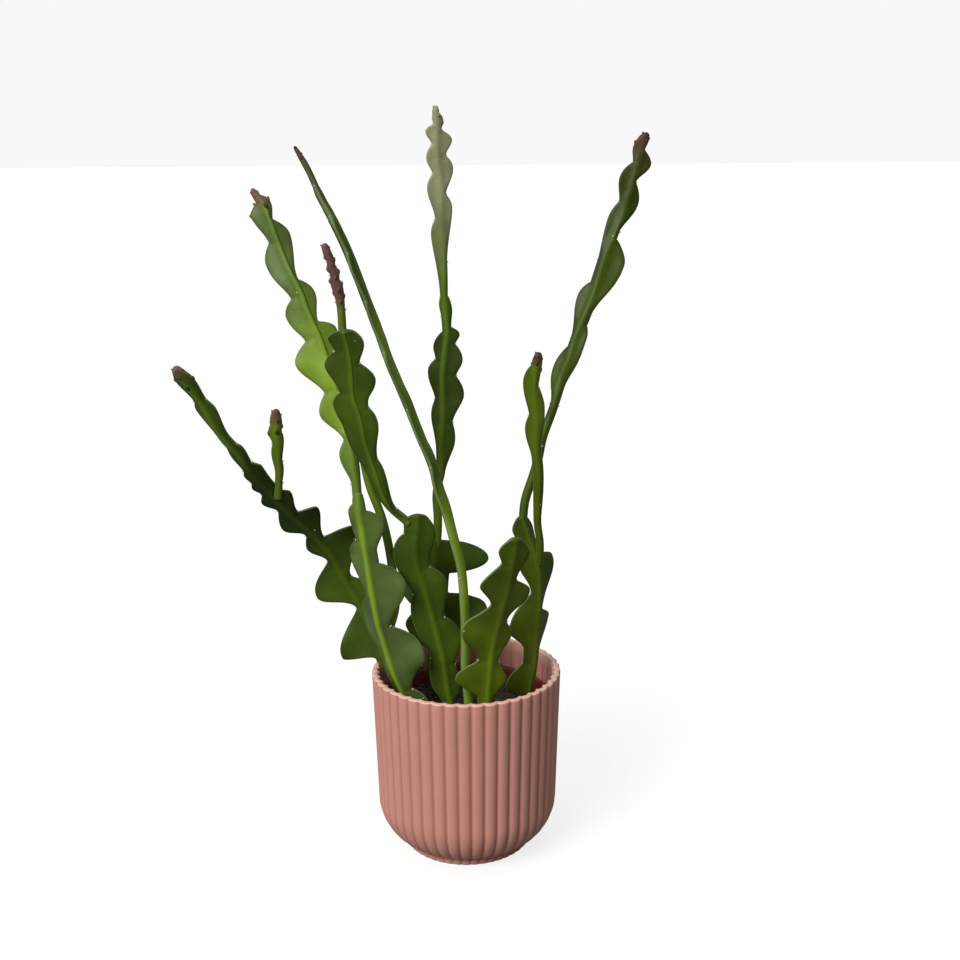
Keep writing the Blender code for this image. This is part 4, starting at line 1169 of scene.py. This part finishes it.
CENTRE_BACK_BASE = (-11, 14, 57)
centre_back = bmesh.new()
shank(centre_back, CENTRE_BACK_BASE)
blade(
    centre_back,
    route=(
        CENTRE_BACK_BASE, (-12, 15, 70.5), (-12, 15.5, 78.5), (-13, 16, 87.5), (-14, 16, 96),
        (-14, 17, 103.5), (-13, 17, 112.5), (-12.5, 18, 121),
    ),
    left=(
        *ROOTED, (9.5, 5), (17.5, 3.6), (29.5, 12), (35.5, 5), (45.5, 12.6), (52.5, 5.5), (58.5, 8.5),
        (64.5, 1.2),
    ),
    right=(*ROOTED, (13.5, 6), (20.5, 4.5), (32.5, 22), (42, 6.8), (51, 7), (57.7, 22.3), (64.5, 1.2)),
    turn=((0, -15), (64.5, 10)),
    lobes=LONG_LOBES,
    fresh=((0, 0.02),),
)
blade(
    centre_back,
    route=(
        (-12, 18, 115), (-11, 19, 130), (-11.5, 20.5, 140), (-9.5, 22, 148.5), (-9.5, 22, 158.5),
        (-8.5, 22.5, 168.5), (-8.5, 24, 177.5), (-8.5, 24.5, 187.5), (-7.5, 25.5, 196.5),
        (-6.5, 26, 204.5), (-7.5, 27, 212), (-7.5, 28, 220), (-7.5, 30, 232.5), (-8.5, 31.5, 244),
        (-8.5, 33, 255), (-9, 33.5, 264.5), (-10, 34.5, 273), (-10, 35, 281.5), (-10, 36, 290),
    ),
    left=(
        (0, 1.8), (29, 1.7), (43, 2.1), (57, 5), (63, 3.3), (74, 6.2), (78.5, 3.5), (83.5, 4.9),
        (90, 1.9), (96, 1.7), (101, 2.2), (103, 1.7), (127.5, 4.3), (133.5, 2.4), (145.5, 5.3),
        (151, 2.7), (157, 4.4), (162, 1.8), (167, 4.4), (169.5, 1.3), (174, 1.6), (177, 0.7),
    ),
    right=(
        (0, 1.8), (29, 1.6), (34, 1.8), (47, 5.6), (54, 4), (65, 8.5), (72.5, 5.5), (79, 7.6),
        (85.5, 3.7), (89, 5.1), (91.5, 1.8), (98.5, 3), (104, 1.4), (117, 1.2), (138, 4.4), (143, 2.1),
        (153, 5.7), (157.5, 3.4), (164, 6.2), (167.5, 2.1), (171.5, 2.8), (174, 1), (177, 0.7),
    ),
    turn=((0, 0), (60, -15), (177, 18)),
    # Fresh marks below nought here are painted shade
    fresh=((0, 0.4), (20, 0.5), (45, 0), (60, -0.35), (88, -0.5), (96, 0.1), (125, 0.25), (177, 0.2)),
    tip=((0, 0), (110, 0), (140, 0.7), (165, 1), (177, 1)),
    rib=((0, 0.15), (50, 0.2), (90, 0.35), (110, 0.1)),
    scales=5,
)
stem("stem_centre_back", centre_back, OLD_GREEN, PALE_SCALE)


# Edge-on stem: one long stem that leans to the left and shows its edge, a bright green stalk below
# and a dark narrow blade above

EDGE_ON_BASE = (1, -14, 57)
edge_on = bmesh.new()
shank(edge_on, EDGE_ON_BASE)
blade(
    edge_on,
    route=(
        EDGE_ON_BASE, (1, -14, 65), (0, -15, 76), (0, -16, 88), (0, -17, 100), (-0.5, -18, 111),
        (-1.5, -18, 122), (-4, -18, 132), (-6, -17, 140), (-9, -16, 150), (-12, -15, 161),
        (-15.5, -13.5, 169), (-18.5, -11.5, 176.5), (-22, -10, 185), (-27, -7, 196.5), (-31, -4, 207.5),
        (-36, -1, 220.5), (-39.5, 1.5, 229.5), (-43.5, 4.5, 239), (-48, 6, 248.5), (-53, 9, 257.5),
        (-57, 10.5, 266.5), (-62, 12, 275),
    ),
    left=(
        (0, 2.1), (60, 1.8), (82, 2.1), (97, 4), (104, 2.8), (120, 4.6), (127, 3), (142, 4.6),
        (149.5, 2.8), (163.5, 4.4), (169.5, 2.6), (182, 4), (188.5, 2.2), (198, 2.8), (204, 1.4),
        (212.5, 1.6), (217, 1.1), (224.5, 1.2), (234, 0.5),
    ),
    right=(
        (0, 2.1), (60, 1.8), (78, 2.1), (90, 3.6), (95, 2.8), (109, 4.4), (115, 3), (131, 4.6), (138, 3),
        (153.5, 4.4), (159.5, 2.8), (172.5, 4.2), (179, 2.4), (190.5, 3.2), (196, 1.7), (206.5, 1.7),
        (210.5, 1.2), (219, 1.2), (234, 0.5),
    ),
    turn=((0, 60), (85, 62), (105, 76), (232.5, 80)),
    thickness=3.5,
    # The fresh mark below nought near the top is painted shade
    fresh=((0, 1), (60, 0.9), (85, 0.6), (100, 0.1), (150, 0.35), (175, 0.1), (230, -0.2)),
    tip=((0, 0), (210, 0), (225, 0.6), (233, 1)),
    # The crease mark puts a thin line of painted shade beside the rib
    crease=((0, 0), (80, 0.2), (92, 0.8), (118, 0.8), (130, 0.3)),
    scales=4,
)
stem("stem_edge_on", edge_on, OLD_GREEN, DARK_SCALE)


# Right front stem: a broad short blade in front on the right, with three long lobes to its left

RIGHT_FRONT_BASE = (7, -19, 57)
right_front = bmesh.new()
shank(right_front, RIGHT_FRONT_BASE)
blade(
    right_front,
    route=(
        RIGHT_FRONT_BASE, (8, -20, 68), (9, -21, 80), (10, -22, 90), (12, -24.5, 99.5),
        (14, -27.5, 109), (16, -28.5, 116.5), (17, -29.5, 123), (18, -31, 130), (19, -32, 136.5),
    ),
    left=(
        *ROOTED, (11, 3.5), (20, 12.8), (28, 4.7), (40, 13.2), (53, 4.7), (61, 11), (71, 4.1), (76, 5.8),
        (82, 1.6),
    ),
    right=(
        *ROOTED, (12, 3), (19, 7.2), (27, 3.2), (39.5, 6.8), (45.5, 3.4), (60.5, 9.2), (64, 2.9),
        (75, 6.2), (82, 1.6),
    ),
    turn=((0, 8), (81.5, 20)),
    lobes=POINTED_LOBES,
    # Fresh marks below nought here are painted shade
    fresh=((0, 0.1), (50, 0.02), (60, -0.2), (80, -0.3)),
    rib=((0, 0.45), (45, 0.2), (65, 0.05)),
)
stem("stem_right_front", right_front, OLIVE_GREEN, SCALE_BROWN)


# Right back stem: a dark blade whose right wing folds back, with a tall dark stem at its tip and a
# shorter fresh one on its side

RIGHT_BACK_BASE = (24, -4, 57)
right_back = bmesh.new()
shank(right_back, RIGHT_BACK_BASE)
blade(
    right_back,
    route=(
        RIGHT_BACK_BASE, (25, -4, 65), (27, -3, 76), (28, -2, 88), (29, -1, 101), (29, 0, 110),
        (28, 0, 118), (25, 1, 126), (22, 2, 135.5),
    ),
    left=(
        *ROOTED, (9, 10), (19, 4.8), (25, 5), (33, 12.1), (48, 3.6), (60, 7.5), (66, 3.6), (75, 5.4),
        (80.5, 1.6),
    ),
    right=(
        *ROOTED, (14, 2), (24, 1.8), (38, 7.6), (41.5, 1.8), (60.5, 10.4), (63.5, 3), (74, 4.4),
        (80.5, 1.6),
    ),
    turn=((0, 12), (79, 15)),
    fold_right=((0, 40),),
    lobes=POINTED_LOBES,
    # Fresh marks below nought here are painted shade
    fresh=((0, -0.1), (80, -0.3)),
)
blade(
    right_back,
    route=(
        (22.5, 2, 131), (23.5, 4, 141.5), (26, 5.5, 148.5), (28.5, 7.5, 156.5), (30, 8, 164.5),
        (33, 10.5, 172), (35.5, 11.5, 179), (37.5, 14, 187), (40.5, 15, 193.5), (44, 18, 203.5),
        (48, 20, 212.5), (52.5, 23, 223.5), (55.5, 25, 233), (60, 28, 243), (63, 30, 251),
        (65.5, 31.5, 259.5), (68, 33.5, 268), (70, 35, 274), (71.5, 36, 279.5),
    ),
    left=(
        (0, 1.7), (49, 1.6), (64.5, 4.7), (72.5, 2.2), (76, 2), (93, 5.9), (99, 3), (108, 2.8),
        (125, 5.1), (132, 3.1), (141, 5.5), (148, 2.1), (154, 3.8), (161, 0.7),
    ),
    right=(
        (0, 1.7), (25, 2), (49, 1.9), (77, 4.4), (82.5, 2.4), (87, 2.2), (108.5, 7.9), (118, 1.3),
        (121, 1.1), (133.5, 4.5), (141, 1.3), (149.5, 5.3), (154, 1), (158, 1.6), (161, 0.7),
    ),
    turn=((0, -10), (80.5, -20), (161, 15)),
    # Fresh marks below nought on this whole blade are painted shade
    fresh=((0, -0.2), (60, -0.45), (140, -0.6)),
    tip=((0, 0), (138, 0), (150, 0.35), (156, 0.9), (161, 1)),
    rib=((0, 0.05),),
    scales=4,
)
blade(
    right_back,
    route=(
        (29, 0, 116), (29, -3.5, 127), (28, -4.5, 133), (28, -7, 143.5), (28, -10.5, 155.5),
        (27, -13, 167), (27, -15, 175), (26.5, -16.5, 183), (26.5, -19, 191.5), (26.5, -20, 197.5),
        (27.5, -21, 202.5),
    ),
    left=(
        (0, 1.5), (18, 1.5), (36, 2), (47.5, 2.2), (59, 4.4), (64.5, 2.7), (77, 5), (84, 1.9), (90, 0.7),
    ),
    right=((0, 1.5), (18, 1.5), (36, 2), (52, 1.9), (68, 3.4), (76, 1), (84.5, 2.1), (90, 0.7)),
    turn=((0, 0), (90, -25)),
    fresh=((0, 0), (45, 0.05), (60, 0.15), (90, 0.15)),
    tip=((0, 0), (84, 0), (87, 0.8), (90, 1)),
    scales=5,
)
stem("stem_right_back", right_back, OLIVE_GREEN, DARK_SCALE)


# Areoles: the small felted cushions in the notches, each with a few short pale bristles

FELT_RADIUS = 0.42
BRISTLE_COUNT = 4
BRISTLE_LENGTH = 1.3
BRISTLE_RADIUS = 0.05
FELT_PALE = (0.62, 0.60, 0.48)

dice = np.random.default_rng(11)
felt_shape = bmesh.new()
bristle_shape = bmesh.new()
tuft_mesh = bpy.data.meshes.new("tuft")
for place, out, along_stem in areoles:
    place, out, along_stem = Vector(place), Vector(out), Vector(along_stem)
    size = FELT_RADIUS * dice.uniform(0.7, 1.15)
    cushion = bmesh.new()
    bmesh.ops.create_icosphere(
        cushion, subdivisions=2, radius=size * MM, matrix=Matrix.Translation(place * MM)
    )
    for corner in cushion.verts:
        corner.co += out * 0.12 * MM * noise.noise(corner.co / (0.25 * MM))
    cushion.to_mesh(tuft_mesh)
    cushion.free()
    felt_shape.from_mesh(tuft_mesh)
    bristles = bmesh.new()
    for index in range(BRISTLE_COUNT):
        sway = Vector(dice.uniform(-0.8, 0.8, 3))
        way = (out + 0.4 * along_stem + sway).normalized()
        long = BRISTLE_LENGTH * dice.uniform(0.5, 1)
        turn = Vector((0, 0, 1)).rotation_difference(way).to_matrix().to_4x4()
        bmesh.ops.create_cone(
            bristles,
            cap_ends=True,
            segments=5,
            radius1=BRISTLE_RADIUS * MM,
            radius2=BRISTLE_RADIUS * 0.2 * MM,
            depth=long * MM,
            matrix=Matrix.Translation((place + way * (long / 2 + 0.1)) * MM) @ turn,
        )
    bristles.to_mesh(tuft_mesh)
    bristles.free()
    bristle_shape.from_mesh(tuft_mesh)
bpy.data.meshes.remove(tuft_mesh)
felt = bpy.data.materials.new("areole_felt")
felt.use_nodes = True
tree = felt.node_tree
nodes, links = tree.nodes, tree.links
shader = nodes["Principled BSDF"]
shader.inputs["Roughness"].default_value = 0.8
coordinate = nodes.new("ShaderNodeTexCoord")
wool = nodes.new("ShaderNodeTexNoise")
wool.inputs["Scale"].default_value = 2500
wool_tint = nodes.new("ShaderNodeMix")
wool_tint.data_type = "RGBA"
wool_tint.inputs["A"].default_value = (*FELT_PALE, 1)
wool_tint.inputs["B"].default_value = (*[part * 0.55 for part in FELT_PALE], 1)
links.new(coordinate.outputs["Object"], wool.inputs["Vector"])
links.new(wool.outputs["Fac"], wool_tint.inputs["Factor"])
links.new(wool_tint.outputs["Result"], shader.inputs["Base Color"])
for name, shape in (("areole_cushions", felt_shape), ("areole_bristles", bristle_shape)):
    mesh = bpy.data.meshes.new(name)
    shape.to_mesh(mesh)
    shape.free()
    mesh.shade_smooth()
    mesh.materials.append(felt)
    piece = bpy.data.objects.new(name, mesh)
    bpy.context.scene.collection.objects.link(piece)
    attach(piece, "root")
